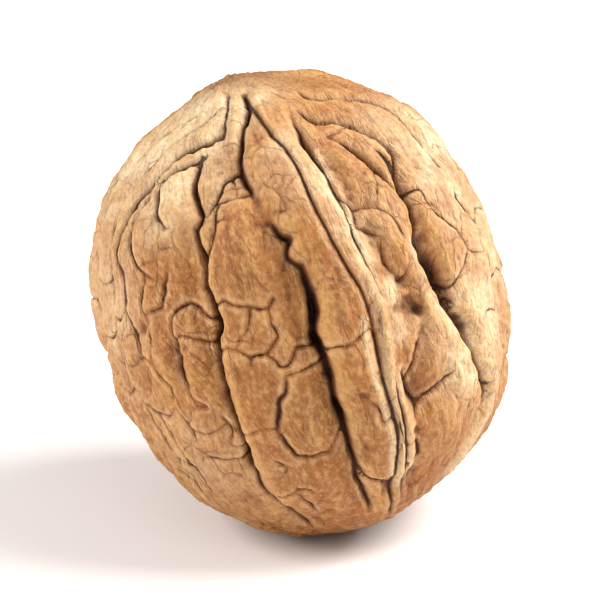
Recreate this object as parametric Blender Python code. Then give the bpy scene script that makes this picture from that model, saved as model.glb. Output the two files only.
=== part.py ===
# Whole walnut in its shell, leaning the way it lies on a table.
# One closed solid: a rounded, slightly long body with a raised seam all round, furrows that
# run from tip to base, and a net of smaller cracks between them.
# The shape is worked out in the nut's own frame, tip up and seam to the front, and is then
# turned to the way it lies. A place on the shell is given by two angles in degrees: around,
# from the middle of the front seam and positive to the right, and along, from the widest
# part (0) to the tip (90) or the base (-90).

import math
import random

import bmesh
import bpy
import numpy as np
from mathutils import Matrix

MM = 0.001

# Driving dimensions of the plain body
HALF_LENGTH = 19.2 * MM
HALF_CHEEK = 17.0 * MM
HALF_SEAM = 16.5 * MM
FULLNESS = 2.25

# Tip and base, each a bump or dip that fades over so many degrees
TIP_RISE = 0.5 * MM
TIP_SPREAD = 4.0
NECK_DIP = 0.3 * MM
NECK_AT = 20.0
NECK_SPREAD = 9.0
BASE_DIP = 0.75 * MM
BASE_SPREAD = 13.0

# Raised seam, which stands in the plane through both halves' joint
SEAM_RISE = 0.38 * MM
SEAM_HALF_WIDTH = 2.9 * MM
SEAM_OFFSET = 0.45 * MM
SEAM_GROOVE_DEPTH = 0.4 * MM
SEAM_GROOVE_WIDTH = 0.42 * MM

# Furrows and cracks, by group: depth and half width
DEEP = (0.92 * MM, 0.65 * MM)
FURROW = (0.60 * MM, 0.55 * MM)
CRACK = (0.26 * MM, 0.50 * MM)
HIDDEN_FURROW_DEPTH = 0.72 * MM
ROUTE_STEP = 0.3 * MM
END_FADE = 1.6 * MM
END_DEPTH = 0.3

# The shell drops towards its furrows, fully at those of at least a certain depth
PLATE_DROP = 0.55 * MM
PLATE_REACH = 1.2 * MM
FULL_DROP_DEPTH = 0.62 * MM

# Swells, ribs and valleys: the least half width the mesh can show, and how softly they join
LEAST_HALF_WIDTH = 0.75 * MM
JOIN_POWER = 3

# The whole shell is a little uneven: slow waves in different directions
LUMP_RISE = 0.22 * MM
LUMP_SIZE = 7.5 * MM
LUMP_WAVES = 7

# How it lies: turned about its own length, leaned back, then leaned to the left
TURN = 19.0
LEAN_BACK = 13.0
LEAN_LEFT = 18.5
FLAT_SPOT_DEPTH = 0.7 * MM

# Mesh: cells along each side of the cube that is blown up into the body
CELLS = 30
SNAP = 0.30 * MM
BATCH = 400

SEED = 11
SHELL_COLOUR = (0.60, 0.38, 0.19, 1.0)
SHELL_ROUGHNESS = 0.62

SEAM_LINE = [
    (-2, 76), (-4, 65), (-4, 58), (-2.5, 51), (-1, 47), (0, 40), (0, 31), (1, 22), (2.4, 12.5),
    (3.9, 5.5), (4.5, 0), (4.4, -5), (3.6, -14), (3, -20), (3.2, -26), (3.6, -31.5), (4, -35),
    (2.7, -41), (0.7, -47.5), (-1, -57), (-1, -64), (0, -72),
]

DEEP_LINES = [
    # Beside the seam, on its left
    [(-9, 17), (-9, 11), (-9.6, 4), (-11, 0), (-12, -3), (-11.5, -6.5), (-11, -10), (-11.3, -17),
     (-11.8, -22), (-11.8, -30), (-12, -38), (-12, -43)],
    # Across the left cheek
    [(-38.5, 31.5), (-37.5, 29), (-37, 25.5), (-38.3, 21.5), (-39, 19), (-38, 16.5), (-37.5, 11),
     (-37.5, 7), (-39, 5), (-40.3, -0.5), (-42, -7), (-42.5, -10), (-44, -16), (-44, -22),
     (-44, -28), (-45.3, -30.5), (-47.3, -35.5), (-46.2, -38)],
    # Down the right cheek
    [(28, 11), (28.6, 5.5), (29, 0), (29.5, -3), (31, -9), (32, -11.5), (34, -16), (35.8, -20),
     (37.5, -25), (40, -29), (42.3, -32.5), (44.3, -36), (45.2, -39.5)],
]

FURROW_LINES = [
    [(-12, -43), (-13.2, -47), (-13, -51), (-12.3, -57.5), (-12, -63)],
    [(-13, 34), (-13.5, 30), (-12, 27), (-10, 25), (-12, 22), (-11, 19), (-9, 17)],
    [(-2, 76), (-5, 70), (-6, 67), (-9, 63), (-12, 60), (-15, 56), (-17, 53), (-19, 49),
     (-18, 44), (-17, 38)],
    [(-36, 68), (-42, 64.5), (-55, 62.5), (-67, 60), (-68, 57), (-72, 50), (-77, 46),
     (-78, 40), (-80, 33), (-77, 26.5)],
    [(-23.5, 59), (-29, 58), (-41, 55), (-50, 51), (-54.5, 46.5), (-60, 42), (-65, 39)],
    [(-36.5, 52), (-38, 48), (-37.5, 43), (-36, 38), (-38, 35), (-38.5, 31.5)],
    [(-46.2, -38), (-47.5, -43), (-46.6, -45.3), (-48, -53), (-49.5, -57.5), (-51, -66)],
    [(-78, -16), (-76, -20.7), (-75.5, -28), (-76, -35), (-78, -41)],
    [(31, 68), (29.5, 64), (33, 61), (40, 58.3), (47, 55), (51.5, 51), (53.5, 45), (54, 39),
     (53.5, 32), (54, 24)],
    [(15, 60), (19, 55), (25, 52.5), (30, 49.5), (34, 45), (37.3, 40.5), (38, 37), (35, 33),
     (33, 29), (32, 24), (31, 18), (28, 11)],
    [(20, 46), (23, 42), (25.7, 37.5), (28, 32.5), (30.3, 27.5), (32, 24)],
    [(11, 58), (9, 55), (8, 50), (8, 45), (8.7, 39), (9, 33), (9, 26), (8.4, 19), (8.5, 12)],
    [(44.3, -36), (45.2, -39.5), (45, -43), (43.5, -47), (41.7, -51), (40, -55.5), (38, -59.5),
     (35, -63.5), (28, -67)],
    [(19, -12.5), (16, -18.2), (14.3, -20.7), (12, -23.8), (11.2, -26)],
    [(10.3, -18.5), (9.8, -21.7), (11.2, -27.5), (12.8, -32), (11.5, -36.5), (10.8, -42),
     (12, -47)],
    [(6.8, -19), (6, -24), (6, -31), (6, -37), (5.4, -41.5), (3.8, -46), (3.2, -51), (1.5, -58)],
    [(-55, 7), (-53.5, 3.5), (-54.5, -2), (-55, -9)],
    [(57, 24), (55, 16), (57.5, 8), (56, 0), (58.5, -9), (57, -18), (59.5, -27), (58, -36), (60, -46)],
]

CRACK_LINES = [
    [(-17, 80), (-20, 71), (-22, 63), (-23.5, 59)],
    [(-19, 48.5), (-25.5, 46), (-31, 40), (-35, 36)],
    [(-30, 40), (-24, 39.5), (-17.5, 40)],
    [(-29, 39.5), (-31, 33), (-36, 26)],
    [(-8, 39), (-8.3, 35), (-7.5, 31)],
    [(-18, 31), (-13.5, 30.5)],
    [(-68, 53), (-70.3, 46), (-72.5, 40), (-76.5, 33.5)],
    [(-66, 33), (-61.6, 28), (-56, 23)],
    [(-50, 31), (-51, 24), (-52.7, 19)],
    [(-62, 14.5), (-57, 16), (-51, 13.5), (-46, 15.3), (-41, 11)],
    [(-34, 14), (-27.5, 10.5), (-23, 8.7), (-20, 10.5)],
    [(-27.3, 10), (-29.5, 4), (-32.5, 1)],
    [(-21.5, 9), (-22, 1), (-26.3, -3.7), (-31.2, -4.6), (-32.5, -9)],
    [(-26.3, -3.7), (-23.7, -8.3), (-19.7, -7.3), (-17, -5.3), (-12.5, -6)],
    [(-22.7, -11), (-25, -15), (-29, -21.3), (-31, -26), (-30.3, -32), (-28, -35.5),
     (-21.4, -36.6), (-17, -36), (-13, -33)],
    [(-8, -7.3), (-2.5, -8), (2.2, -6)],
    [(-4, -22.8), (-0.7, -26.5), (0.3, -32)],
    [(-11, -44.3), (-9.3, -47), (-6.5, -48.7), (-2, -50.5)],
    [(-36.5, -34), (-34.6, -37), (-35.6, -39.5)],
    [(37.5, 24), (37, 19), (39, 15), (42.5, 11.5), (44.5, 8), (44.5, 2)],
    [(9.2, 31), (11.5, 27.5), (11, 22), (14, 19), (17, 16)],
    [(31.5, -1), (36, -5), (40, -2)],
    [(24, 9), (22, 7), (18.5, 3)],
    [(29, -26.2), (24.3, -28.8), (18.5, -30.2), (13.2, -32.2)],
    [(9.8, -37), (6.8, -38.6), (5.3, -39)],
    [(10.5, -51), (8, -55)],
    [(-53, -13.5), (-57, -16.5)],
    [(-67, -52), (-65, -57)],
    [(44.7, 3.3), (50, 1), (56, 0)],
    [(58.5, -9), (65, -7), (73, -11)],
    [(57.5, 8), (64, 11), (72, 9)],
    [(59.5, -27), (66, -30), (74, -27)],
    [(58, -36), (52, -33), (46, -36)],
    [(-62, 14.5), (-61, 8), (-62, 1), (-60, -6), (-61, -13), (-59, -20), (-60, -28)],
    [(-61, -13), (-66, -15), (-72, -14)],
    [(-59, -20), (-53, -22), (-47, -21)],
    [(-60, -28), (-66, -32), (-75.5, -28)],
]

# Broad swells and puffed plates: half width and height in millimetres, sharpness, then points
SWELLS = [
    (1.60, 0.50, 4, [(-7.5, 46), (-7, 38), (-5.6, 30), (-4, 22), (-2.9, 14), (-2, 6), (-2, 0),
                     (-2.8, -10), (-4.4, -20), (-4.2, -30), (-4.5, -40), (-6, -50), (-6.5, -58)]),
    (0.90, 0.25, 2, [(-8, 24), (-5.5, 18)]),
    (1.05, 0.46, 3, [(2, 62), (2.6, 55), (3, 48), (3.6, 40), (4, 32), (4.6, 25), (5.6, 18), (7, 11)]),
    (2.60, 0.34, 3, [(43, 36), (42, 25), (42, 15), (43, 5)]),
    (1.90, 0.42, 3, [(-24, 35), (-25.5, 28), (-27, 20), (-28, 14)]),
    (1.70, 0.28, 3, [(-43, 51), (-46, 43)]),
    (1.30, 0.25, 3, [(-58, 38), (-60, 30)]),
    (1.25, 0.38, 3, [(-46.3, 9), (-46.6, 2), (-48, -6), (-49, -12)]),
    (1.10, 0.24, 3, [(-34, 2), (-35, -3)]),
    (2.00, 0.44, 3, [(-19, -14), (-21, -22), (-21.5, -29)]),
    (2.30, 0.30, 3, [(-23, -44), (-24, -53)]),
    (1.70, 0.25, 3, [(-33, -14), (-35, -24)]),
    (1.30, 0.26, 3, [(-73, 32), (-74, 18), (-74, 4), (-75, -10)]),
    (1.20, 0.22, 3, [(-61, 2), (-63, -12), (-65, -26)]),
    (0.90, 0.26, 2, [(13, 52), (15, 44), (19, 36), (22, 28)]),
    (1.40, 0.26, 3, [(20, 20), (21, 10)]),
    (1.90, 0.34, 3, [(23, -38), (24, -46)]),
    (1.20, 0.26, 3, [(22, -18), (19, -25)]),
    (1.70, 0.30, 3, [(33, -30), (35, -40), (34, -50)]),
    (0.80, 0.24, 2, [(-28, 66), (-36, 60), (-46, 57)]),
]

# Ribs: beside the seam, along its lower half, and at the left of the right cheek's furrow
RIBS = [
    (0.60, 0.44, 2, [(6.6, 14), (8, 8), (8.6, 2), (8.4, -5), (7.4, -12), (6.1, -18), (5.1, -24),
                     (4.9, -31), (5.3, -36), (4.3, -42), (2.6, -48), (1, -55)]),
    (0.75, 0.48, 2, [(25.5, 12), (26, 6), (26.8, 0), (27.8, -6), (29.5, -12), (32, -17.5),
                     (34.8, -22.5), (37.6, -28), (40, -32.5), (42.3, -38), (42.6, -45), (42.8, -52)]),
    (0.60, 0.24, 2, [(-13, 70), (-15, 63), (-18, 56)]),
]

# Broad valleys: half width and depth in millimetres, sharpness, then points
VALLEYS = [
    (1.50, 0.75, 2, [(-14.5, 30), (-14.5, 24), (-13.3, 16), (-13.8, 8), (-15, 0), (-15, -8),
                     (-14.3, -16)]),
    (1.20, 0.60, 2, [(-14.3, -16), (-13.8, -24), (-14, -32), (-14, -42), (-14.8, -50), (-14, -58)]),
    (1.10, 0.45, 2, [(12, 46), (10.5, 38), (11, 30), (12.5, 20), (14, 12), (16, 4), (17, -3)]),
    (1.00, 0.40, 2, [(-41, 33), (-41.3, 22), (-41.5, 12), (-43, 0), (-45, -12), (-47, -24),
                     (-48.5, -34)]),
    (0.90, 0.40, 2, [(30.5, 4), (33, -5), (36.5, -13), (39.5, -20), (42.5, -27), (45.5, -34)]),
    (0.90, 0.40, 2, [(20, -12), (17, -19), (14, -25), (13, -31)]),
    (0.80, 0.32, 2, [(33, 31), (32, 22), (30.5, 14)]),
    (0.80, 0.30, 2, [(-31, 42), (-36, 36), (-38, 32)]),
    (0.80, 0.28, 2, [(-67, 20), (-67, 8), (-69, -6)]),
    (0.80, 0.26, 2, [(37, 45), (38.5, 38)]),
]

# Broad hollows and small pits: around, along, radius and depth in millimetres
HOLLOWS = [
    (21.5, -6.5, 1.6, 0.6), (15.5, -27.5, 1.7, 0.5), (18.5, 3, 0.7, 0.4), (-64, 11, 0.8, 0.55),
    (-10, 25, 0.8, 0.45), (-14.5, -15, 1.8, 0.25), (11, -39.5, 0.7, 0.4), (-1, -54, 1.3, 0.6),
    (9, -57, 1.6, 0.35), (14, 30, 1.1, 0.25), (-6, -39, 1.0, 0.25), (-26, 52, 1.6, 0.25),
]

# Columns of furrows round the side that faces away, by the angle around of their middles
HIDDEN_COLUMNS = [74, 92, 110, 128, 146, 169, 190, 213, 231, 249, 265]
HIDDEN_ENDS = (80, 64)
HIDDEN_WOBBLE = 3.8
HIDDEN_STEP = 10
HIDDEN_DEPTHS = (0.35, 1.0)
LEAST_GIRTH = 0.4

# Cracks across from each column to the next: the first is up to so much below the top
CROSS_TOP = 56
CROSS_START = 15
CROSS_GAP = (14, 24)
CROSS_SLANT = 9
CROSS_BEND = 4

# The seam runs on round the back, and sways less there
BACK_AROUND = 180
BACK_SWAY = 0.5


def direction(around, along):
    """Unit vectors of places on the shell."""
    a = np.radians(np.asarray(around, float))
    b = np.radians(np.asarray(along, float))
    return np.stack([np.cos(b) * np.sin(a), -np.cos(b) * np.cos(a), np.sin(b)], -1)


def body_radius(ways):
    """Distance from the middle to the plain body, with its tip and base, along each way."""
    x, y, z = np.moveaxis(ways, -1, 0)
    girth = ((x / HALF_CHEEK) ** 2 + (y / HALF_SEAM) ** 2) ** (FULLNESS / 2)
    radius = (girth + np.abs(z / HALF_LENGTH) ** FULLNESS) ** (-1 / FULLNESS)
    from_tip = np.degrees(np.arccos(np.clip(z, -1, 1)))
    radius = radius + TIP_RISE * np.exp(-(from_tip / TIP_SPREAD) ** 2)
    radius = radius - NECK_DIP * np.exp(-((from_tip - NECK_AT) / NECK_SPREAD) ** 2)
    return radius - BASE_DIP * np.exp(-((180 - from_tip) / BASE_SPREAD) ** 2)


def on_body(ways):
    return ways * body_radius(ways)[..., None]


def smooth_route(points):
    """A smooth curve through the points of a line, as evenly spaced places on the body."""
    corners = on_body(direction(*np.array(points, float).T))
    ends = [2 * corners[0] - corners[1], *corners, 2 * corners[-1] - corners[-2]]
    places = []
    for before, start, stop, after in zip(ends, ends[1:], ends[2:], ends[3:]):
        count = max(2, round(np.linalg.norm(stop - start) / ROUTE_STEP))
        t = (np.arange(count) / count)[:, None]
        bend = (2 * before - 5 * start + 4 * stop - after) * t ** 2
        twist = (3 * start - before - 3 * stop + after) * t ** 3
        places.append(start + 0.5 * ((stop - before) * t + bend + twist))
    places = np.vstack([*places, corners[-1:]])
    return on_body(places / np.linalg.norm(places, axis=1)[:, None])


def faded_depth(route, depth):
    """Depth at each place of a route, less near both of its ends."""
    steps = np.linalg.norm(np.diff(route, axis=0), axis=1)
    run = np.concatenate([[0], np.cumsum(steps)])
    near_end = np.minimum(run, run[-1] - run)
    rise = np.clip(near_end / END_FADE, 0, 1)
    return depth * (END_DEPTH + (1 - END_DEPTH) * rise)


def hidden_column(middle, end, rng):
    """Points of one furrow from near the tip to near the base, which wobbles as it goes."""
    points = []
    for along in range(end, -end - 1, -HIDDEN_STEP):
        girth = max(LEAST_GIRTH, math.cos(math.radians(along)))
        points.append((middle + HIDDEN_WOBBLE * rng.uniform(-1, 1) / girth, along))
    return points


def around_at(column, along):
    """Where a column stands at a height."""
    heights = [height for _, height in reversed(column)]
    arounds = [around for around, _ in reversed(column)]
    return float(np.interp(along, heights, arounds))


def cross_cracks(left, right, rng):
    """Short slanted cracks from one column to the next."""
    cracks = []
    along = CROSS_TOP - rng.uniform(0, CROSS_START)
    while along > -CROSS_TOP:
        slant = CROSS_SLANT * rng.uniform(-1, 1)
        start = around_at(left, along)
        stop = around_at(right, along + slant)
        middle = ((start + stop) / 2, along + slant / 2 + CROSS_BEND * rng.uniform(-1, 1))
        cracks.append([(start, along), middle, (stop, along + slant)])
        along -= rng.uniform(*CROSS_GAP)
    return cracks


def hidden_lines(rng):
    """Columns and cross cracks of the far side, each with its depth and half width."""
    columns = []
    for number, middle in enumerate(HIDDEN_COLUMNS):
        columns.append(hidden_column(middle, HIDDEN_ENDS[number % 2], rng))
    lines = []
    for column in columns:
        share = rng.uniform(*HIDDEN_DEPTHS)
        lines.append((column, HIDDEN_FURROW_DEPTH * share, FURROW[1]))
    for left, right in zip(columns, columns[1:]):
        for crack in cross_cracks(left, right, rng):
            lines.append((crack, CRACK[0], CRACK[1]))
    return lines


def all_lines():
    lines = [(SEAM_LINE, SEAM_GROOVE_DEPTH, SEAM_GROOVE_WIDTH)]
    back_seam = [(BACK_AROUND + BACK_SWAY * around, along) for around, along in SEAM_LINE]
    lines.append((back_seam, SEAM_GROOVE_DEPTH, SEAM_GROOVE_WIDTH))
    for group, shape in ((DEEP_LINES, DEEP), (FURROW_LINES, FURROW), (CRACK_LINES, CRACK)):
        for points in group:
            lines.append((points, *shape))
    return lines + hidden_lines(random.Random(SEED))


def grooves():
    """Every line as places, depths and half widths in three long arrays."""
    places, depths, widths = [], [], []
    for points, depth, width in all_lines():
        route = smooth_route(points)
        places.append(route)
        depths.append(faded_depth(route, depth))
        widths.append(np.full(len(route), width))
    return np.vstack(places), np.concatenate(depths), np.concatenate(widths)


def read_grooves(points, lines):
    """How deep the grooves cut each point, how far it drops beside them, and the nearest place of
    a groove with the distance to it."""
    places, depths, widths = lines
    shares = PLATE_DROP * np.clip(depths / FULL_DROP_DEPTH, 0, 1)
    cut, drop, gap, nearest = [], [], [], []
    for start in range(0, len(points), BATCH):
        batch = points[start:start + BATCH]
        away = np.linalg.norm(batch[:, None, :] - places[None, :, :], axis=2)
        cut.append((depths * np.exp(-(away / widths) ** 2)).max(axis=1))
        drop.append((shares * np.exp(-away / PLATE_REACH)).max(axis=1))
        gap.append(away.min(axis=1))
        nearest.append(places[away.argmin(axis=1)])
    return np.concatenate(cut), np.concatenate(drop), np.concatenate(gap), np.vstack(nearest)


def broad_forms(points, lines):
    """Height of bells that run along smooth lines, joined softly where they meet."""
    total = np.zeros(len(points))
    for width, height, sharpness, middle in lines:
        route = smooth_route(middle)
        gap = np.min([np.linalg.norm(points - place, axis=1) for place in route], axis=0)
        bell = np.exp(-(gap / max(width * MM, LEAST_HALF_WIDTH)) ** sharpness)
        total += (height * MM * bell) ** JOIN_POWER
    return total ** (1 / JOIN_POWER)


def seam_ridge(points):
    """Height of the raised seam: wide on its left, narrow on its right, and even at the back."""
    offset = np.where(points[:, 1] < 0, SEAM_OFFSET, 0.0)
    across = (points[:, 0] + offset) / SEAM_HALF_WIDTH
    return SEAM_RISE * np.exp(-across ** 4)


def hollows(points):
    depth = np.zeros(len(points))
    for around, along, radius, deep in HOLLOWS:
        middle = on_body(direction(around, along))
        away = np.linalg.norm(points - middle, axis=1)
        depth = np.maximum(depth, deep * MM * np.exp(-(away / (radius * MM)) ** 2))
    return depth


def lumps(points, rng):
    """A few slow waves in different directions, for an uneven shell."""
    height = np.zeros(len(points))
    for _ in range(LUMP_WAVES):
        way = np.array([rng.gauss(0, 1) for _ in range(3)])
        way = way / np.linalg.norm(way)
        size = LUMP_SIZE * rng.uniform(0.8, 1.6)
        height += np.sin(2 * math.pi * (points @ way) / size + rng.uniform(0, 2 * math.pi))
    return LUMP_RISE * height / math.sqrt(LUMP_WAVES)


def shell_points(ways):
    """Final places of the mesh's vertices in the nut's own frame, and how high each stands out of
    the plain body."""
    lines = grooves()
    points = on_body(ways)
    _, _, gap, nearest = read_grooves(points, lines)
    points = np.where((gap < SNAP)[:, None], nearest, points)
    ways = points / np.linalg.norm(points, axis=1)[:, None]
    cut, drop, _, _ = read_grooves(points, lines)
    height = seam_ridge(points) + lumps(points, random.Random(SEED)) - cut - drop - hollows(points)
    raised = np.maximum(broad_forms(points, SWELLS), broad_forms(points, RIBS))
    height += raised - broad_forms(points, VALLEYS)
    return points + ways * height[:, None], height


def blown_up_cube():
    """A closed ball of even cells, one vertex row of which lies in the seam's plane."""
    mesh = bmesh.new()
    bmesh.ops.create_cube(mesh, size=2.0)
    bmesh.ops.subdivide_edges(mesh, edges=mesh.edges, cuts=CELLS - 1, use_grid_fill=True)
    for vertex in mesh.verts:
        spread = [math.tan(part * math.pi / 4) for part in vertex.co]
        vertex.co = spread
        vertex.co.normalize()
    return mesh


def split_squares(mesh, heights):
    """Cut each square in two along its lower or shorter diagonal, so that a groove's floor runs on
    unbroken."""
    for face in list(mesh.faces):
        corners = list(face.verts)
        costs = []
        for one, other in ((corners[0], corners[2]), (corners[1], corners[3])):
            costs.append(heights[one.index] + heights[other.index] + (one.co - other.co).length)
        start = costs.index(min(costs))
        bmesh.utils.face_split(face, corners[start], corners[start + 2])


def lay_down(mesh):
    """Turn the nut the way it lies, flatten its lowest spot, and stand it on the origin."""
    left = Matrix.Rotation(math.radians(-LEAN_LEFT), 4, "Y")
    back = Matrix.Rotation(math.radians(-LEAN_BACK), 4, "X")
    turn = Matrix.Rotation(math.radians(TURN), 4, "Z")
    bmesh.ops.transform(mesh, matrix=left @ back @ turn, verts=mesh.verts)
    floor = min(vertex.co.z for vertex in mesh.verts) + FLAT_SPOT_DEPTH
    for vertex in mesh.verts:
        vertex.co.z = max(vertex.co.z, floor)
    low = [min(vertex.co[axis] for vertex in mesh.verts) for axis in range(3)]
    high = [max(vertex.co[axis] for vertex in mesh.verts) for axis in range(3)]
    middle = [(low[0] + high[0]) / 2, (low[1] + high[1]) / 2, low[2]]
    bmesh.ops.translate(mesh, vec=[-part for part in middle], verts=mesh.verts)


def shell_material():
    material = bpy.data.materials.new("walnut_shell")
    material.use_nodes = True
    shader = material.node_tree.nodes["Principled BSDF"]
    shader.inputs["Base Color"].default_value = SHELL_COLOUR
    shader.inputs["Roughness"].default_value = SHELL_ROUGHNESS
    shader.inputs["Metallic"].default_value = 0.0
    return material


def make_walnut():
    mesh = blown_up_cube()
    mesh.verts.index_update()
    places, heights = shell_points(np.array([vertex.co for vertex in mesh.verts]))
    for vertex, place in zip(mesh.verts, places):
        vertex.co = place
    split_squares(mesh, heights)
    lay_down(mesh)
    bmesh.ops.recalc_face_normals(mesh, faces=mesh.faces)
    data = bpy.data.meshes.new("walnut")
    mesh.to_mesh(data)
    mesh.free()
    data.shade_smooth()
    data.materials.append(shell_material())
    walnut = bpy.data.objects.new("walnut", data)
    bpy.context.scene.collection.objects.link(walnut)
    return walnut


for item in list(bpy.data.objects):
    bpy.data.objects.remove(item)
make_walnut()
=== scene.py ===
import math
import random

import bpy
import bmesh
import numpy as np
from mathutils import Matrix, Vector, noise


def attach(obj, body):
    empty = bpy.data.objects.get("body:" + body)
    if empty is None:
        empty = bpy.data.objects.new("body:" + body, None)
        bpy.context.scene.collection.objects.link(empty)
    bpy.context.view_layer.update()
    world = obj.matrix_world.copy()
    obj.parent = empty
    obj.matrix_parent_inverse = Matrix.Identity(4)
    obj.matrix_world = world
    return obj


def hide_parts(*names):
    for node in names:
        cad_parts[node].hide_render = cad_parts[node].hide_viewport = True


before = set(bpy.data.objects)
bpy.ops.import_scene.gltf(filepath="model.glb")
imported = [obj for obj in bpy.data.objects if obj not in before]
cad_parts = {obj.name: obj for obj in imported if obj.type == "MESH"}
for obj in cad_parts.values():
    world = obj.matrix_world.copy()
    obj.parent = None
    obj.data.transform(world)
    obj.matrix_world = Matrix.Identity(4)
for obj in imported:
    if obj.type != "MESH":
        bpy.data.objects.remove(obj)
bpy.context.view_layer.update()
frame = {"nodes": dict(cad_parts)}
print("frame loaded:", ", ".join(frame["nodes"]))

mm = 0.001

# a whole walnut in its shell, leaning the way it lies in the photograph
# places on the shell are (around, along) in degrees: around from the front seam, along from the waist
shell = {
    "halfLength": 19.2 * mm,
    "halfCheek": 17.0 * mm,
    "halfSeam": 16.5 * mm,
    "fullness": 2.25,
    "nibRise": 0.55 * mm,
    "nibSpread": 2.4,
    "neckDip": 0.3 * mm,
    "neckAt": 20.0,
    "neckSpread": 9.0,
    "baseDip": 0.75 * mm,
    "baseSpread": 13.0,
    "lumpRise": 0.22 * mm,
    "lumpSize": 7.5 * mm,
    "lumpSpread": (0.8, 1.6),
    "lumpWaves": 7,
    "joinPower": 3,
    "grainCore": 0.12,
    "cells": 125,          # along each side of the cube that is blown up
    "turn": 19.0,
    "leanBack": 13.0,
    "leanLeft": 18.5,
    "flatSpotDepth": 0.7 * mm,
    "seed": 11,
}

# the carving of the surface: what the Geometry Nodes tree gets as inputs
carving = {
    "Seam Rise": 0.35 * mm,
    "Seam Half Width": 2.9 * mm,
    "Seam Offset": 0.45 * mm,
    "Pull": 0.24 * mm,
    "Shoulder Drop": 0.24 * mm,
    "Shoulder Reach": 0.40 * mm,
    "Plate Drop": 0.50 * mm,
    "Plate Reach": 1.4 * mm,
    "Groove Evenness": 0.7,
    "Warp": 0.45 * mm,
    "Warp Size": 2.2 * mm,
    "Ripple Rise": 0.46 * mm,
    "Ripple Size": 1.7 * mm,
    "Pebble Rise": 0.24 * mm,
    "Pebble Size": 0.8 * mm,
    "Net Depth": 0.07 * mm,
    "Net Size": 2.0 * mm,
    "Pit Depth": 0.16 * mm,
    "Pit Size": 1.9 * mm,
    "Seed": 4.0,
}

# grooves: half width and depth in mm, then points; the seam and the line close beside it are drawn straighter
seamWidth = 0.15

seamLine = [
    (seamWidth, 0.33, [(-2, 76), (-4, 65), (-4, 58), (-2.5, 51), (-1, 47), (0, 40), (0, 31), (1, 22),
        (2.4, 12.5), (3.9, 5.5), (4.5, 0), (4.4, -5), (3.6, -14), (3, -20), (3.2, -26), (3.6, -31.5),
        (4, -35), (2.7, -41), (0.7, -47.5), (-1, -57), (-1, -64), (0, -72)]),
]

deepLines = [
    (0.44, 1.45, [(-9, 17), (-9, 11), (-9.6, 4), (-11, 0), (-12, -3), (-11.5, -6.5), (-11, -10),
        (-11.3, -17), (-11.8, -22)]),
    (0.34, 1.10, [(-11.3, -17), (-11.8, -22), (-11.8, -30), (-12, -38), (-12, -43)]),
    (0.24, 0.55, [(-12, -38), (-12, -43), (-13.2, -47), (-13, -51), (-12.3, -57.5), (-12, -63)]),
    (0.29, 0.90, [(-38.5, 35), (-38.5, 31.5), (-37.5, 29), (-37, 25.5), (-38.3, 21.5), (-39, 19),
        (-38, 16.5), (-37.5, 11), (-37.5, 7), (-39, 5), (-40.3, -0.5), (-42, -7), (-42.5, -10), (-44, -16),
        (-44, -22), (-44, -28), (-45.3, -30.5), (-47.3, -35.5), (-46.2, -38)]),
    (0.95, 1.40, [(28.5, 11), (30.2, 5.5), (31.2, 0), (32, -3), (33.4, -9), (34.3, -11.5), (36, -16),
        (37.6, -20), (39.2, -25)]),
    (0.60, 0.95, [(34.3, -11.5), (36, -16), (37.6, -20), (39.2, -25), (41.3, -29), (43.4, -32.5)]),
]

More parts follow.
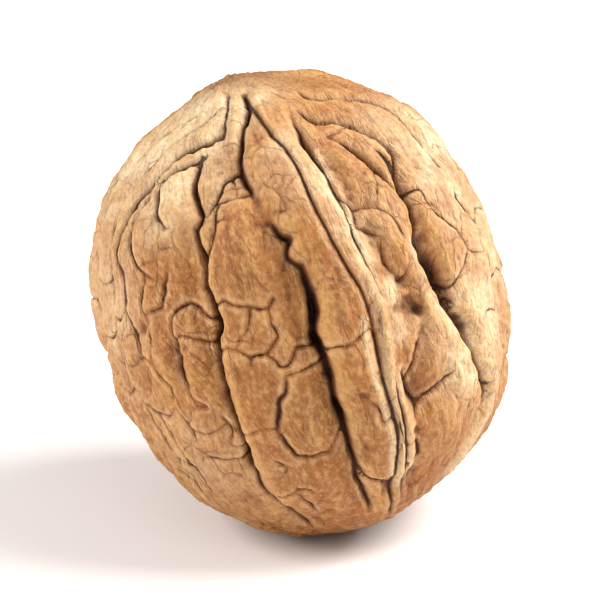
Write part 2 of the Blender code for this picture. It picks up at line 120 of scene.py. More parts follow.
furrowLines = [
    (0.30, 0.62, [(-13, 34), (-13.5, 30), (-12, 27), (-10, 25), (-12, 22), (-11, 19), (-9, 17)]),
    (0.30, 0.62, [(-2, 76), (-5, 70), (-6, 67), (-9, 63), (-12, 60), (-15, 56), (-17, 53), (-19, 49)]),
    (0.27, 0.60, [(-19, 48.5), (-18, 44), (-17, 41), (-17, 37)]),
    (0.34, 0.46, [(-25, 72), (-35, 68), (-47, 65), (-57, 61), (-64.5, 56.5), (-69.5, 52), (-73, 48),
        (-75, 44), (-76, 40.5), (-77.5, 36), (-78, 31.5), (-77, 26.5), (-79, 17), (-77.5, 8), (-79.5, -2),
        (-77.5, -11), (-78, -17)]),
    (0.32, 0.42, [(-37, 72), (-54, 70.5), (-67, 67.5), (-76, 62.5), (-81.5, 57), (-85, 51.5), (-87, 46),
        (-90, 36), (-88.5, 26), (-91, 15), (-88.5, 5), (-90.5, -5), (-91, -13)]),
    (0.34, 0.52, [(-23.5, 60), (-34.5, 58), (-44.5, 57), (-52, 54), (-59, 49.5), (-64.5, 45.5),
        (-67.5, 41.5), (-70.5, 37), (-71.5, 32.5)]),
    (0.30, 0.42, [(-29, 55.3), (-34, 54), (-41.5, 52.5), (-48, 51), (-53, 48.5), (-53, 44.5), (-52, 40),
        (-49, 36.5), (-44.5, 35.5)]),
    (0.26, 0.36, [(-53, 50), (-57, 48.5), (-60, 44), (-63, 39), (-65.5, 35), (-63.5, 31), (-59, 25.5),
        (-54, 23)]),
    (0.28, 0.75, [(-34.5, 54.5), (-37, 50), (-38, 45), (-37.5, 43), (-36.5, 40), (-36, 38), (-38, 35)]),
    (0.28, 0.62, [(-46.2, -37.5), (-47.5, -43), (-46.6, -45.3), (-48, -53), (-49.5, -57.5), (-51, -66)]),
    (0.28, 0.50, [(-78, -17), (-76, -20.7), (-76, -24), (-75.5, -28), (-76, -31.3), (-76, -35),
        (-78, -40)]),
    (0.34, 0.52, [(31, 68), (29.5, 64), (33, 61), (40, 58.3), (47, 55), (51.5, 51), (53.5, 45), (54, 39),
        (53.5, 32), (54, 24)]),
    (0.32, 0.62, [(15, 60), (19, 55), (25, 52.5), (30, 49.5), (34, 45), (37.3, 40.5), (38, 37), (35, 33),
        (33, 29), (32, 24), (31, 18), (28, 11)]),
    (0.27, 0.62, [(20, 46), (23, 42), (25.7, 37.5), (28, 32.5), (30.3, 27.5), (32, 24)]),
    (0.20, 0.42, [(30, 41.5), (33, 37), (34, 32.5)]),
    (0.31, 0.60, [(11, 58), (9, 55), (8, 50), (8, 45), (8.7, 39)]),
    (0.30, 0.52, [(39.2, -25), (41.3, -29), (43.4, -32.5), (45.1, -36), (45.8, -39.5), (45, -43),
        (43.5, -47), (41.7, -51), (40, -55.5), (38, -59.5), (35, -63.5), (28, -67)]),
    (0.27, 0.62, [(10.3, -18.5), (9.8, -21.7), (10.6, -24.8), (11.2, -27.5), (12.5, -31), (13, -32.3),
        (12.3, -34), (11.5, -36.5)]),
    (seamWidth, 0.33, [(6.8, -19), (6.4, -23.3), (6.4, -28.8), (6.6, -33.5), (6.4, -38), (6, -43.5),
        (5, -49), (4.6, -55), (5, -62)]),
    (0.26, 0.36, [(57, 24), (55, 16), (57.5, 8), (56, 0), (58.5, -9), (57, -18), (59.5, -27), (58, -36),
        (60, -46)]),
    (0.28, 0.55, [(-52.5, 6), (-53.5, 3.5), (-53.4, 1), (-54.5, -2), (-54.5, -5), (-54, -10)]),
    (0.20, 0.42, [(-79, -8), (-75, -11.5), (-71.5, -16.5), (-70, -23), (-69.5, -29.5), (-69.5, -35.5),
        (-70, -41)]),
    (0.24, 0.50, [(-91, -13), (-87.5, -19.5), (-84.5, -25), (-82.5, -31.5), (-79, -37.5), (-76, -44)]),
]

crackLines = [
    (0.19, 0.22, [(-17, 82), (-20, 71), (-21, 67), (-22, 63), (-23.5, 59)]),
    (0.22, 0.42, [(-19, 48.5), (-23, 47), (-25.5, 46), (-27.5, 44), (-29.5, 41.5), (-31, 40), (-33, 38),
        (-35, 36)]),
    (0.16, 0.20, [(-30, 40), (-26, 39.8), (-22.3, 39.3), (-19.8, 39.6), (-17.5, 40)]),
    (0.17, 0.24, [(-29, 39.5), (-30.5, 36.5), (-31, 33), (-32.5, 31), (-34.5, 28), (-36, 26)]),
    (0.16, 0.19, [(-8, 39), (-8.3, 35), (-7.5, 31.5)]),
    (0.17, 0.22, [(-18, 31), (-13.5, 30.5)]),
    (0.16, 0.19, [(-16.5, 31), (-17, 28), (-18, 24), (-19, 21)]),
    (0.16, 0.17, [(-26.3, 34), (-26, 31.5), (-25, 29.5)]),
    (0.17, 0.21, [(-50, 30), (-49.3, 27), (-51, 24), (-52.5, 22), (-52.7, 19.5)]),
    (0.17, 0.20, [(-62, 14.5), (-60.3, 15), (-57, 16), (-55, 16.5)]),
    (0.16, 0.22, [(-52.8, 6.5), (-52.7, 9), (-51.8, 11.7), (-50, 14), (-47.6, 15), (-45, 15.5), (-43, 14),
        (-41.5, 12), (-39.5, 10)]),
    (0.17, 0.22, [(-34, 14), (-33, 13.5), (-31.3, 12), (-27.5, 10.5), (-23, 8.7), (-21.5, 9.5),
        (-20, 10.5)]),
    (0.14, 0.19, [(-27.3, 10), (-28.6, 6), (-29.5, 4), (-31.9, 2.6)]),
    (0.14, 0.20, [(-21.5, 9), (-22.5, 5), (-22, 2), (-21.7, 0), (-23.5, -1.5), (-26.3, -3.7), (-29.7, -3.3),
        (-31.2, -4.6), (-32.5, -8)]),
    (0.16, 0.22, [(-26.3, -3.7), (-24.2, -6.3), (-23.7, -8.3), (-21.6, -8.6), (-19.7, -7.3), (-18.2, -5.2),
        (-16.5, -5.5), (-13, -6)]),
    (0.19, 0.29, [(-22.7, -11), (-24.3, -15), (-27.5, -18.2), (-29, -21.3), (-31, -25), (-30.8, -28.3),
        (-30.3, -32.2), (-29.6, -34.6), (-26.5, -36.3), (-21.4, -36.6), (-19.3, -37.2)]),
    (0.17, 0.25, [(-19.3, -37.5), (-16, -35), (-14.5, -33.5), (-12.5, -33)]),
    (0.16, 0.19, [(-8, -7.3), (-4.7, -7.7), (-2.5, -8), (-0.5, -7), (2.2, -6)]),
    (0.12, 0.10, [(-1.8, -9), (-1.2, -12), (-1, -14), (-2, -18)]),
    (0.17, 0.22, [(-4, -22.8), (-0.7, -26.5), (0, -31.5)]),
    (0.19, 0.28, [(-11, -44.3), (-9.3, -47), (-6.5, -48.7), (-2, -50)]),
    (0.16, 0.19, [(-36.5, -34.3), (-35, -35.8), (-34.3, -37.6), (-35.7, -39)]),
    (0.14, 0.15, [(-34.3, -37.6), (-32.5, -38.3)]),
    (0.16, 0.19, [(-47.8, -19), (-47, -21), (-46.5, -23.5), (-48, -26), (-48.5, -28)]),
    (0.16, 0.19, [(-53, -13.5), (-50.5, -14.2)]),
    (0.14, 0.17, [(-56.5, -15), (-57, -16.7)]),
    (0.16, 0.19, [(-73, -10.7), (-72, -14)]),
    (0.17, 0.20, [(-67, -52), (-65, -56)]),
    (0.16, 0.21, [(37.5, 24), (37, 19), (39, 15), (42.5, 11.5), (44.5, 8), (44.7, 3.3)]),
    (0.16, 0.26, [(8, 45), (8.7, 39), (9, 33), (9, 26), (8.4, 19), (8.5, 12), (9.5, 4)]),
    (0.16, 0.22, [(9.2, 31), (11.5, 28), (11.7, 25.5), (10.8, 22), (12.5, 20.5), (14.5, 18.5), (17, 16)]),
    (0.14, 0.15, [(16.5, 17), (15, 12), (15.5, 8)]),
    (0.16, 0.21, [(29.5, 3), (31.5, -1), (34, -3.5), (36, -5), (38.5, -3), (41, -1)]),
    (0.14, 0.15, [(35.7, -8), (36.5, -11)]),
    (0.17, 0.20, [(24, 8.5), (22.2, 7), (18.5, 3.3)]),
    (0.14, 0.16, [(8.5, 4), (9.8, 1.5)]),
    (0.19, 0.28, [(20.5, -11.5), (19, -12.5), (18, -14.8), (16, -18.2), (14.3, -20.7), (12, -23.8),
        (11.2, -25.3)]),
    (0.17, 0.24, [(31, -25), (27.5, -26.5), (24.5, -28), (21, -29.5), (17.5, -31), (14.5, -32.2)]),
    (0.17, 0.22, [(10.5, -41.5), (11.5, -44), (12.5, -46.5), (11, -47.5)]),
    (0.17, 0.24, [(10.3, -51.7), (9, -53), (8.3, -54.5)]),
    (0.17, 0.26, [(-4.5, -50.5), (-2, -53.5), (-1, -57)]),
    (0.14, 0.20, [(44.7, 3.3), (50, 1), (56, 0)]),
    (0.14, 0.20, [(58.5, -9), (65, -7), (73, -11)]),
    (0.14, 0.18, [(57.5, 8), (64, 11), (72, 9)]),
    (0.14, 0.20, [(59.5, -27), (66, -30), (74, -27)]),
    (0.14, 0.18, [(57, -18), (51, -16), (44, -19)]),
    (0.14, 0.18, [(58, -36), (52, -33), (46, -36)]),
    (0.14, 0.16, [(44.5, 7), (50, 12), (55, 16)]),
    (0.14, 0.15, [(15, 26), (19, 24), (22, 20), (23, 15), (24, 8.5)]),
    (0.14, 0.16, [(24.5, 33), (22, 29), (19, 24)]),
    (0.14, 0.15, [(18, 48), (24, 48), (31.5, 48.5)]),
    (0.14, 0.15, [(-23, 47), (-22, 43), (-22.3, 39.3)]),
    (0.14, 0.16, [(-33, -1), (-36, 1), (-40.3, -0.5)]),
    (0.14, 0.16, [(-31, -25), (-36, -24), (-44, -25)]),
    (0.14, 0.18, [(-22.7, -11), (-18, -11.5), (-12, -11)]),
    (0.14, 0.16, [(-47, -44), (-40, -46), (-33, -45), (-26, -48)]),
    (0.14, 0.16, [(-59, 25.5), (-63, 19), (-62, 14.5)]),
    (0.14, 0.16, [(-62, 14.5), (-61, 8), (-62, 1), (-60, -6), (-61, -13), (-59, -20), (-60, -28)]),
    (0.14, 0.16, [(-61, -13), (-66, -15), (-72, -14)]),
    (0.14, 0.16, [(-62, 1), (-67, 3), (-72, 1)]),
    (0.14, 0.15, [(-59, -20), (-53, -22), (-47, -21)]),
    (0.14, 0.15, [(-52.8, 6.5), (-48, 7), (-43, 4)]),
    (0.14, 0.16, [(-60, -28), (-54, -31), (-47, -33)]),
    (0.14, 0.15, [(-60, -28), (-66, -32), (-75.5, -28)]),
    (0.16, 0.24, [(-77, 26.5), (-83, 24), (-88.5, 26)]),
    (0.16, 0.24, [(-78.5, 13), (-84, 9), (-89.5, 10)]),
    (0.16, 0.24, [(-79, -5), (-85, -8), (-90.5, -5)]),
    (0.16, 0.24, [(-71.5, 32.5), (-69, 25), (-70.5, 17), (-68, 10), (-67, 3)]),
    (0.16, 0.22, [(-70.5, 17), (-75, 14), (-78.5, 16)]),
    (0.14, 0.15, [(-59.3, -45.3), (-54, -44), (-47, -45)]),
    (0.14, 0.16, [(-36, -47), (-35, -53), (-37, -60)]),
]

# broad swells, ribs and puffed plates: half width and height in mm, sharpness, then points
swellLines = [
    (2.00, 0.44, 5, [(-7.2, 46), (-6.6, 38), (-5.2, 30), (-3.6, 22), (-2.5, 14), (-1.6, 6), (-1.6, 0),
        (-2.4, -10), (-4.0, -20), (-3.9, -30), (-4.2, -40), (-5.7, -50), (-6.3, -58)]),
    (0.90, 0.25, 2, [(-8, 24), (-5.5, 18)]),
    (1.20, 0.42, 3, [(1.6, 62), (2.2, 55), (2.6, 48), (3.2, 40), (3.6, 32), (4.2, 25), (5.2, 18),
        (6.6, 11)]),
    (2.60, 0.34, 3, [(43, 36), (42, 25), (42, 15), (43, 5)]),
    (1.90, 0.42, 3, [(-24, 35), (-25.5, 28), (-27, 20), (-28, 14)]),
    (1.70, 0.40, 3, [(-43, 51), (-46, 43)]),
    (0.70, 0.16, 2, [(-28, 75), (-50, 68.5), (-64, 63.5), (-73, 57), (-78, 51), (-82, 44)]),
    (0.70, 0.18, 2, [(-34, 63), (-48, 60.5), (-59, 55), (-66, 50), (-71, 44), (-73, 36)]),
    (0.70, 0.18, 2, [(22, 60), (33, 57), (43, 52), (47, 45), (47, 38)]),
    (0.70, 0.16, 2, [(24, 66), (38, 62), (50, 57), (57, 50), (58.5, 42), (58, 34)]),
    (0.90, 0.22, 3, [(-48.5, 46), (-49, 39)]),
    (1.30, 0.38, 3, [(-58, 38), (-60, 30)]),
    (1.25, 0.38, 3, [(-46.3, 9), (-46.6, 2), (-48, -6), (-49, -12)]),
    (0.80, 0.20, 3, [(-25, 6), (-25.5, 1)]),
    (0.75, 0.20, 3, [(-20.5, -1), (-20, -4)]),
    (1.10, 0.24, 3, [(-34, 2), (-35, -3)]),
    (2.00, 0.44, 3, [(-19, -14), (-21, -22), (-21.5, -29)]),
    (2.30, 0.30, 3, [(-23, -44), (-24, -53)]),
    (1.70, 0.25, 3, [(-33, -14), (-35, -24)]),
    (0.55, 0.34, 2, [(-37.3, -4), (-38.8, -13), (-40, -22), (-41.2, -30), (-42.4, -38), (-43.3, -48)]),
    (0.55, 0.30, 2, [(-34.5, 25), (-35.5, 18), (-35, 10), (-36, 4)]),
    (1.30, 0.26, 3, [(-73, 32), (-74, 18), (-74, 4), (-75, -10)]),
    (1.20, 0.22, 3, [(-61, 2), (-63, -12), (-65, -26)]),
    (0.70, 0.22, 2, [(10, 72), (9, 60)]),
    (0.90, 0.26, 2, [(13, 52), (15, 44), (19, 36), (22, 28)]),
    (1.40, 0.26, 3, [(20, 20), (21, 10)]),
    (1.90, 0.34, 3, [(23, -38), (24, -46)]),
    (1.20, 0.26, 3, [(22, -18), (19, -25)]),
    (1.70, 0.30, 3, [(32, -32), (34, -41), (33, -50)]),
    (0.70, 0.40, 2, [(23, -3), (23.5, -8), (25, -12), (27, -17)]),
    (0.80, 0.24, 2, [(-28, 66), (-36, 60), (-46, 57)]),
]

# pale ribs, in the same way; their pale colour is partly the rib's own tone and partly painted highlight
ribLines = [
    (0.60, 0.44, 2, [(6.6, 14), (8, 8), (8.6, 2), (8.4, -5), (7.4, -12), (6.1, -18), (5.1, -24), (4.9, -31),
        (5.3, -36), (4.3, -42), (2.6, -48), (1, -55)]),
    (0.32, 0.16, 2, [(2.2, -3), (1.2, -12), (0.9, -20), (1.2, -28), (1.8, -35), (0.4, -42), (-1.2, -49)]),
    (0.50, 0.34, 2, [(9.3, -20), (8.2, -27), (8.6, -34), (8.3, -41), (7.5, -48)]),
    (0.65, 0.18, 2, [(25.5, 12), (26, 6), (26.8, 0), (27.8, -6), (29.5, -12), (32, -17.5), (34.8, -22.5),
        (37.6, -28), (39, -31)]),
    (0.90, 0.30, 2, [(46.5, -31), (49, -37), (50, -43), (48.5, -49), (46.5, -55), (43, -61)]),
    (0.60, 0.24, 2, [(-13, 70), (-15, 63), (-18, 56)]),
    (0.85, 0.16, 2, [(8, 44), (7.8, 36), (8, 28), (8.2, 20), (9.5, 12)]),
    (0.90, 0.10, 2, [(14, 3), (13, -4), (11, -11)]),
]

# broad valleys: half width and depth in mm, sharpness, then points
valleyLines = [
    (1.50, 0.75, 2, [(-14.5, 30), (-14.5, 24), (-13.3, 16), (-13.8, 8), (-15, 0), (-15, -8), (-14.3, -16)]),
    (1.20, 0.60, 2, [(-14.3, -16), (-13.8, -24), (-14, -32), (-14, -42), (-14.8, -50), (-14, -58)]),
    (1.10, 0.45, 2, [(12, 46), (10.5, 38), (11, 30), (12.5, 20), (14, 12), (16, 4), (17, -3)]),
    (1.00, 0.40, 2, [(-41, 33), (-41.3, 22), (-41.5, 12), (-43, 0), (-45, -12), (-47, -24), (-48.5, -34)]),
    (0.90, 0.40, 2, [(30.5, 4), (33, -5), (36.5, -13), (39.5, -20), (42.5, -27), (45.5, -34)]),
    (0.90, 0.40, 2, [(20, -12), (17, -19), (14, -25), (13, -31)]),
    (0.80, 0.32, 2, [(33, 31), (32, 22), (30.5, 14)]),
    (0.70, 0.32, 2, [(-18, 48), (-17, 40), (-14, 32)]),
    (0.80, 0.30, 2, [(-31, 42), (-36, 36), (-38, 32)]),
    (0.60, 0.26, 2, [(-29, 39), (-31.5, 33), (-35, 27)]),
    (0.70, 0.30, 2, [(-56, 14), (-54.5, 4), (-55.5, -8)]),
    (0.80, 0.28, 2, [(-67, 20), (-67, 8), (-69, -6)]),
    (0.80, 0.26, 2, [(37, 45), (38.5, 38)]),
    (0.60, 0.22, 2, [(-27, 8.5), (-21, 8.5)]),
    (0.70, 0.40, 2, [(-2, -50), (-1, -58)]),
    (0.70, 0.28, 2, [(10.5, -44), (10, -54)]),
]

# broad hollows and pits: around, along, radius and depth in mm
hollowSpots = [
    (18, -5, 1.9, 0.50), (14.5, -4, 0.8, 0.40), (20.5, -6.5, 0.62, 1.0), (15.5, -27.5, 1.7, 0.50),
    (18.5, 3, 0.6, 0.40), (-64, 11, 0.65, 0.65), (-10, 25, 0.6, 0.50), (-14.5, -15, 1.8, 0.25),
    (11, -39.5, 0.5, 0.45), (-1, -54, 1.2, 0.60), (9.5, -57, 1.6, 0.35), (13, 32, 0.45, 0.22),
    (12.5, 29.5, 0.4, 0.2), (12.5, 27, 0.4, 0.2), (17, 26.5, 0.4, 0.2), (-6.2, -38, 0.6, 0.25),
    (-7, -40.3, 0.5, 0.22), (-26, 52, 1.6, 0.25), (-4, -22.8, 0.35, 0.3), (-53, -37.5, 0.5, 0.15),
    (-59, -45.3, 0.5, 0.2), (36, -5, 0.4, 0.25), (30, 17, 0.5, 0.3),
]

# bleached and tanned patches: around, along, spread in degrees, and share, which is below 0 for tanned; the
# bleached ones on the limbs and the upper side are partly painted highlight, the rest the shell's own tone
patches = [
    (-78, 14, 16, 0.40), (-50, 48, 15, 0.85), (-82, 58, 15, 0.80), (-40, 68, 12, 0.80),
    (-60, -30, 18, 0.25), (-26, 22, 9, -0.60), (-50, 18, 11, -0.35), (-52, -2, 11, -0.35),
    (34, -28, 8, 0.50), (-21, -22, 10, -0.65), (-33, -8, 8, -0.30), (-22, -4, 6, -0.40), (-4, 8, 9, -0.60),
    (-4, -32, 10, -0.50), (-24, -48, 12, -0.10), (-4, 42, 9, 0.30), (0, 74, 12, 0.25), (28, 60, 14, -0.05),
    (16, 24, 10, 0.15), (20, -8, 7, 0.20), (37, -18, 12, 0.75), (62, -4, 22, 0.58), (54, 34, 18, 0.75),
    (25, -40, 11, 0.05), (150, 10, 40, 0.15), (215, 5, 40, 0.10), (265, 20, 20, 0.25),
    (180, -60, 25, -0.25), (-8, 68, 7, 0.60), (3, 50, 5, 0.45), (4, 36, 5, 0.40), (6, 22, 5, 0.35),
]

# furrows of the side that faces away, by the angle around of their middles, and the cracks across them
farSide = {
    "columns": [74, 92, 110, 128, 146, 169, 190, 213, 231, 249, 265],
    "ends": (80, 64),
    "wobble": 3.8,
    "leastGirth": 0.4,
    "step": 10,
    "crossTop": 56,
    "crossStart": 15,
    "crossGap": (14, 24),
    "crossSlant": 9,
    "crossBend": 4,
    "shares": (0.35, 1.0),
    "furrowWidth": 0.30,
    "furrowDepth": 0.95,
    "crackWidth": 0.16,
    "crackDepth": 0.28,
}

# how a groove's line runs: it sways and changes depth and width as it goes
route = {
    "step": 0.2 * mm,
    "endFade": 2.2 * mm,
    "endDepth": (0.0, 0.65),   # share of the depth where it runs out, and where it meets another line
    "touching": 0.3 * mm,
    "joinReach": (0.4 * mm, 1.7 * mm),   # for a furrow and for a crack
    "crackDepth": 0.32,        # a shallower line is a crack
    "fullShoulder": 0.62 * mm,
    "seamShoulder": 0.2,
    "sway": 0.12 * mm,
    "seamSway": 0.03 * mm,
    "swayWave": 0.9 * mm,
    "wave": 1.7 * mm,
    "widthSpread": 0.35,
    "widthSeed": 3.0,
    "depthSpread": 0.75,
    "depthSeed": 8.0,
    "evenSpread": 0.20,        # of the seam's depth, and of lines wider than this half width in mm
    "evenOver": 0.6,
}


def direction(around, along):
    a, b = np.radians(np.asarray(around, float)), np.radians(np.asarray(along, float))
    return np.stack([np.cos(b) * np.sin(a), -np.cos(b) * np.cos(a), np.sin(b)], -1)


def bodyRadius(ways):
    x, y, z = np.moveaxis(ways, -1, 0)
    girth = ((x / shell["halfCheek"]) ** 2 + (y / shell["halfSeam"]) ** 2) ** (shell["fullness"] / 2)
    radius = (girth + np.abs(z / shell["halfLength"]) ** shell["fullness"]) ** (-1 / shell["fullness"])
    fromTip = np.degrees(np.arccos(np.clip(z, -1, 1)))
    radius = radius + shell["nibRise"] * np.exp(-fromTip / shell["nibSpread"])
    radius = radius - shell["neckDip"] * np.exp(-((fromTip - shell["neckAt"]) / shell["neckSpread"]) ** 2)
    return radius - shell["baseDip"] * np.exp(-((180 - fromTip) / shell["baseSpread"]) ** 2)


def onBody(ways):
    return ways * bodyRadius(ways)[..., None]


def smoothRoute(points):
    corners = onBody(direction(*np.array(points, float).T))
    ends = [2 * corners[0] - corners[1], *corners, 2 * corners[-1] - corners[-2]]
    places = []
    for before, start, stop, after in zip(ends, ends[1:], ends[2:], ends[3:]):
        count = max(2, round(np.linalg.norm(stop - start) / route["step"]))
        t = (np.arange(count) / count)[:, None]
        bend = (2 * before - 5 * start + 4 * stop - after) * t ** 2
        twist = (3 * start - before - 3 * stop + after) * t ** 3
        places.append(start + 0.5 * ((stop - before) * t + bend + twist))
    places = np.vstack([*places, corners[-1:]])
    return onBody(places / np.linalg.norm(places, axis=1)[:, None])


def coarseRoute(points):
    return smoothRoute(points)[::2]


def fadedDepth(places, depth, meets):
    # meets says for the start and the stop whether another line is met there
    steps = np.linalg.norm(np.diff(places, axis=0), axis=1)
    run = np.concatenate([[0], np.cumsum(steps)])
    for fromEnd, met in zip((run, run[-1] - run), meets):
        least = route["endDepth"][met]
        depth = depth * (least + (1 - least) * np.clip(fromEnd / route["endFade"], 0, 1))
    return depth


def anglesOf(place):
    x, y, z = place / np.linalg.norm(place)
    return math.degrees(math.atan2(x, -y)), math.degrees(math.asin(z))


def joinedUp(lines):
    # an end that stops just short of another line runs on to it, and each end says if it meets one
    runs = [coarseRoute(points) for _, _, points in lines]
    joined = []
    for number, (width, depth, points) in enumerate(lines):
        others = np.vstack(runs[:number] + runs[number + 1:])
        points, meets = list(points), []
        reach = route["joinReach"][depth < route["crackDepth"]]
        for end in (0, -1):
            gaps = np.linalg.norm(others - onBody(direction(*points[end])), axis=1)
            near = gaps.argmin()
            meets.append(bool(gaps[near] < reach))
            if route["touching"] < gaps[near] < reach:
                points.insert(0 if end == 0 else len(points), anglesOf(others[near]))
        joined.append((width, depth, points, meets))
    return joined


def farColumn(middle, end, rng):
    points = []
    for along in range(end, -end - 1, -farSide["step"]):
        girth = max(farSide["leastGirth"], math.cos(math.radians(along)))
        points.append((middle + farSide["wobble"] * rng.uniform(-1, 1) / girth, along))
    return points


def aroundAt(column, along):
    heights = [height for _, height in reversed(column)]
    arounds = [around for around, _ in reversed(column)]
    return float(np.interp(along, heights, arounds))


def crossCracks(left, right, rng):
    cracks = []
    bend = farSide["crossBend"]
    along = farSide["crossTop"] - rng.uniform(0, farSide["crossStart"])
    while along > -farSide["crossTop"]:
        slant = farSide["crossSlant"] * rng.uniform(-1, 1)
        start, stop = aroundAt(left, along), aroundAt(right, along + slant)
        middle = ((start + stop) / 2, along + slant / 2 + rng.uniform(-bend, bend))
        cracks.append([(start, along), middle, (stop, along + slant)])
        along -= rng.uniform(*farSide["crossGap"])
    return cracks


def farLines(rng):
    columns = []
    for number, middle in enumerate(farSide["columns"]):
        columns.append(farColumn(middle, farSide["ends"][number % 2], rng))
    furrows = []
    for column in columns:
        share = rng.uniform(*farSide["shares"])
        furrows.append((farSide["furrowWidth"], farSide["furrowDepth"] * share, column))
    cracks = []
    for left, right in zip(columns, columns[1:]):
        for crack in crossCracks(left, right, rng):
            cracks.append((farSide["crackWidth"], farSide["crackDepth"], crack))
    return furrows, cracks


def addObject(name, data):
    thing = bpy.data.objects.new(name, data)
    bpy.context.scene.collection.objects.link(thing)
    return thing


def keepNumbers(mesh, key, numbers):
    mesh.attributes.new(key, "FLOAT", "POINT").data.foreach_set("value", np.array(numbers, np.float32))


def pointCloud(name, places, edges, values):
    mesh = bpy.data.meshes.new(name)
    mesh.from_pydata([tuple(place) for place in places], edges, [])
    for key, numbers in values.items():
        keepNumbers(mesh, key, numbers)
    return addObject(name, mesh)


def swayed(run, amount):
    sway = [noise.noise_vector(Vector(place) / route["swayWave"]) for place in run]
    moved = run + amount * np.array(sway)
    return onBody(moved / np.linalg.norm(moved, axis=1)[:, None])


def waves(run, spread, seed):
    # numbers round 1 that change slowly along a line
    shift = Vector((seed, 0, 0))
    return np.array([1 + spread * noise.noise(Vector(place) / route["wave"] + shift) for place in run])


def lineObject(name, lines):
    places, edges, widths, depths, shoulders = [], [], [], [], []
    for width, depth, points, meets in lines:
        isSeam = width == seamWidth
        run = swayed(smoothRoute(points), route["seamSway" if isSeam else "sway"])
        edges += [(len(places) + k, len(places) + k + 1) for k in range(len(run) - 1)]
        places += list(run)
        widths += list(width * mm * waves(run, route["widthSpread"], route["widthSeed"]))
        spread = route["evenSpread" if isSeam or width > route["evenOver"] else "depthSpread"]
        deep = fadedDepth(run, depth * mm * waves(run, spread, route["depthSeed"]), meets)
        depths += list(deep)
        share = route["seamShoulder"] if isSeam else 1.0
        shoulders += list(share * np.clip(deep / route["fullShoulder"], 0, 1))
    return pointCloud(name, places, edges,
                      {"grooveWidth": widths, "grooveDepth": depths, "shoulder": shoulders})


def hollowObject(name):
    places = [onBody(direction(around, along)) for around, along, _, _ in hollowSpots]
    widths = [radius * mm for _, _, radius, _ in hollowSpots]
    depths = [deep * mm for _, _, _, deep in hollowSpots]
    return pointCloud(name, places, [], {"grooveWidth": widths, "grooveDepth": depths})


# node helpers, for Geometry Nodes and for materials alike

def plug(tree, socket, value):
    if isinstance(value, bpy.types.NodeSocket):
        tree.links.new(value, socket)
    elif value is not None:
        socket.default_value = value


def addMath(tree, operation, *values, clamp=False):
    node = tree.nodes.new("ShaderNodeMath")
    node.operation = operation
    node.use_clamp = clamp
    for socket, value in zip(node.inputs, values):
        plug(tree, socket, value)
    return node.outputs[0]


def addVector(tree, operation, first, second=None, scale=None):
    node = tree.nodes.new("ShaderNodeVectorMath")
    node.operation = operation
    plug(tree, node.inputs[0], first)
    plug(tree, node.inputs[1], second)
    if scale is not None:
        plug(tree, node.inputs["Scale"], scale)
    return node.outputs["Value" if operation == "DISTANCE" else "Vector"]


def perMetre(tree, size):
    # how many waves or cells of a size fit in a metre, where the size is a socket or a number
    return addMath(tree, "DIVIDE", 1.0, size) if isinstance(size, bpy.types.NodeSocket) else 1.0 / size


def addNoise(tree, place, size, detail=2.0, rough=0.5, seed=0.0, stretch=None):
    # size is the length of one wave, in the units of place
    if stretch is not None:
        place = addVector(tree, "MULTIPLY", place, stretch)
    node = tree.nodes.new("ShaderNodeTexNoise")
    node.noise_dimensions = "4D"
    for key, value in (("Vector", place), ("W", seed), ("Scale", perMetre(tree, size)), ("Detail", detail),
                       ("Roughness", rough)):
        plug(tree, node.inputs[key], value)
    return node.outputs


def addCells(tree, place, size, feature):
    node = tree.nodes.new("ShaderNodeTexVoronoi")
    node.feature = feature
    plug(tree, node.inputs["Vector"], place)
    plug(tree, node.inputs["Scale"], perMetre(tree, size))
    return node.outputs["Distance"]


def addRange(tree, value, low, high, newLow=0.0, newHigh=1.0, smooth=True):
    node = tree.nodes.new("ShaderNodeMapRange")
    node.interpolation_type = "SMOOTHSTEP" if smooth else "LINEAR"
    for key, number in zip(("Value", "From Min", "From Max", "To Min", "To Max"),
                           (value, low, high, newLow, newHigh)):
        plug(tree, node.inputs[key], number)
    return node.outputs["Result"]


def addBell(tree, ratio, sharpness):
    # 1 at ratio 0, fading to nothing as it grows
    power = addMath(tree, "POWER", ratio, sharpness)
    return addMath(tree, "EXPONENT", addMath(tree, "MULTIPLY", power, -1.0))


def centred(tree, value):
    return addMath(tree, "MULTIPLY_ADD", value, 2.0, -1.0)


def newTree(name, inputs, outputs):
    tree = bpy.data.node_groups.new(name, "GeometryNodeTree")
    for key, kind in inputs:
        tree.interface.new_socket(key, in_out="INPUT", socket_type=kind)
    for key, kind in outputs:
        tree.interface.new_socket(key, in_out="OUTPUT", socket_type=kind)
    return tree, tree.nodes.new("NodeGroupInput").outputs, tree.nodes.new("NodeGroupOutput").inputs


def named(tree, key, kind="FLOAT"):
    node = tree.nodes.new("GeometryNodeInputNamedAttribute")
    node.data_type = kind
    node.inputs["Name"].default_value = key
    return node.outputs["Attribute"]


def storeNumber(tree, geometry, key, value, kind="FLOAT"):
    store = tree.nodes.new("GeometryNodeStoreNamedAttribute")
    store.data_type = kind
    store.domain = "POINT"
    store.inputs["Name"].default_value = key
    plug(tree, store.inputs["Geometry"], geometry)
    plug(tree, store.inputs["Value"], value)
    return store.outputs["Geometry"]


def softened(tree, value, rounds):
    soften = tree.nodes.new("GeometryNodeBlurAttribute")
    soften.data_type = "FLOAT"
    plug(tree, soften.inputs["Value"], value)
    soften.inputs["Iterations"].default_value = rounds
    return soften.outputs["Value"]


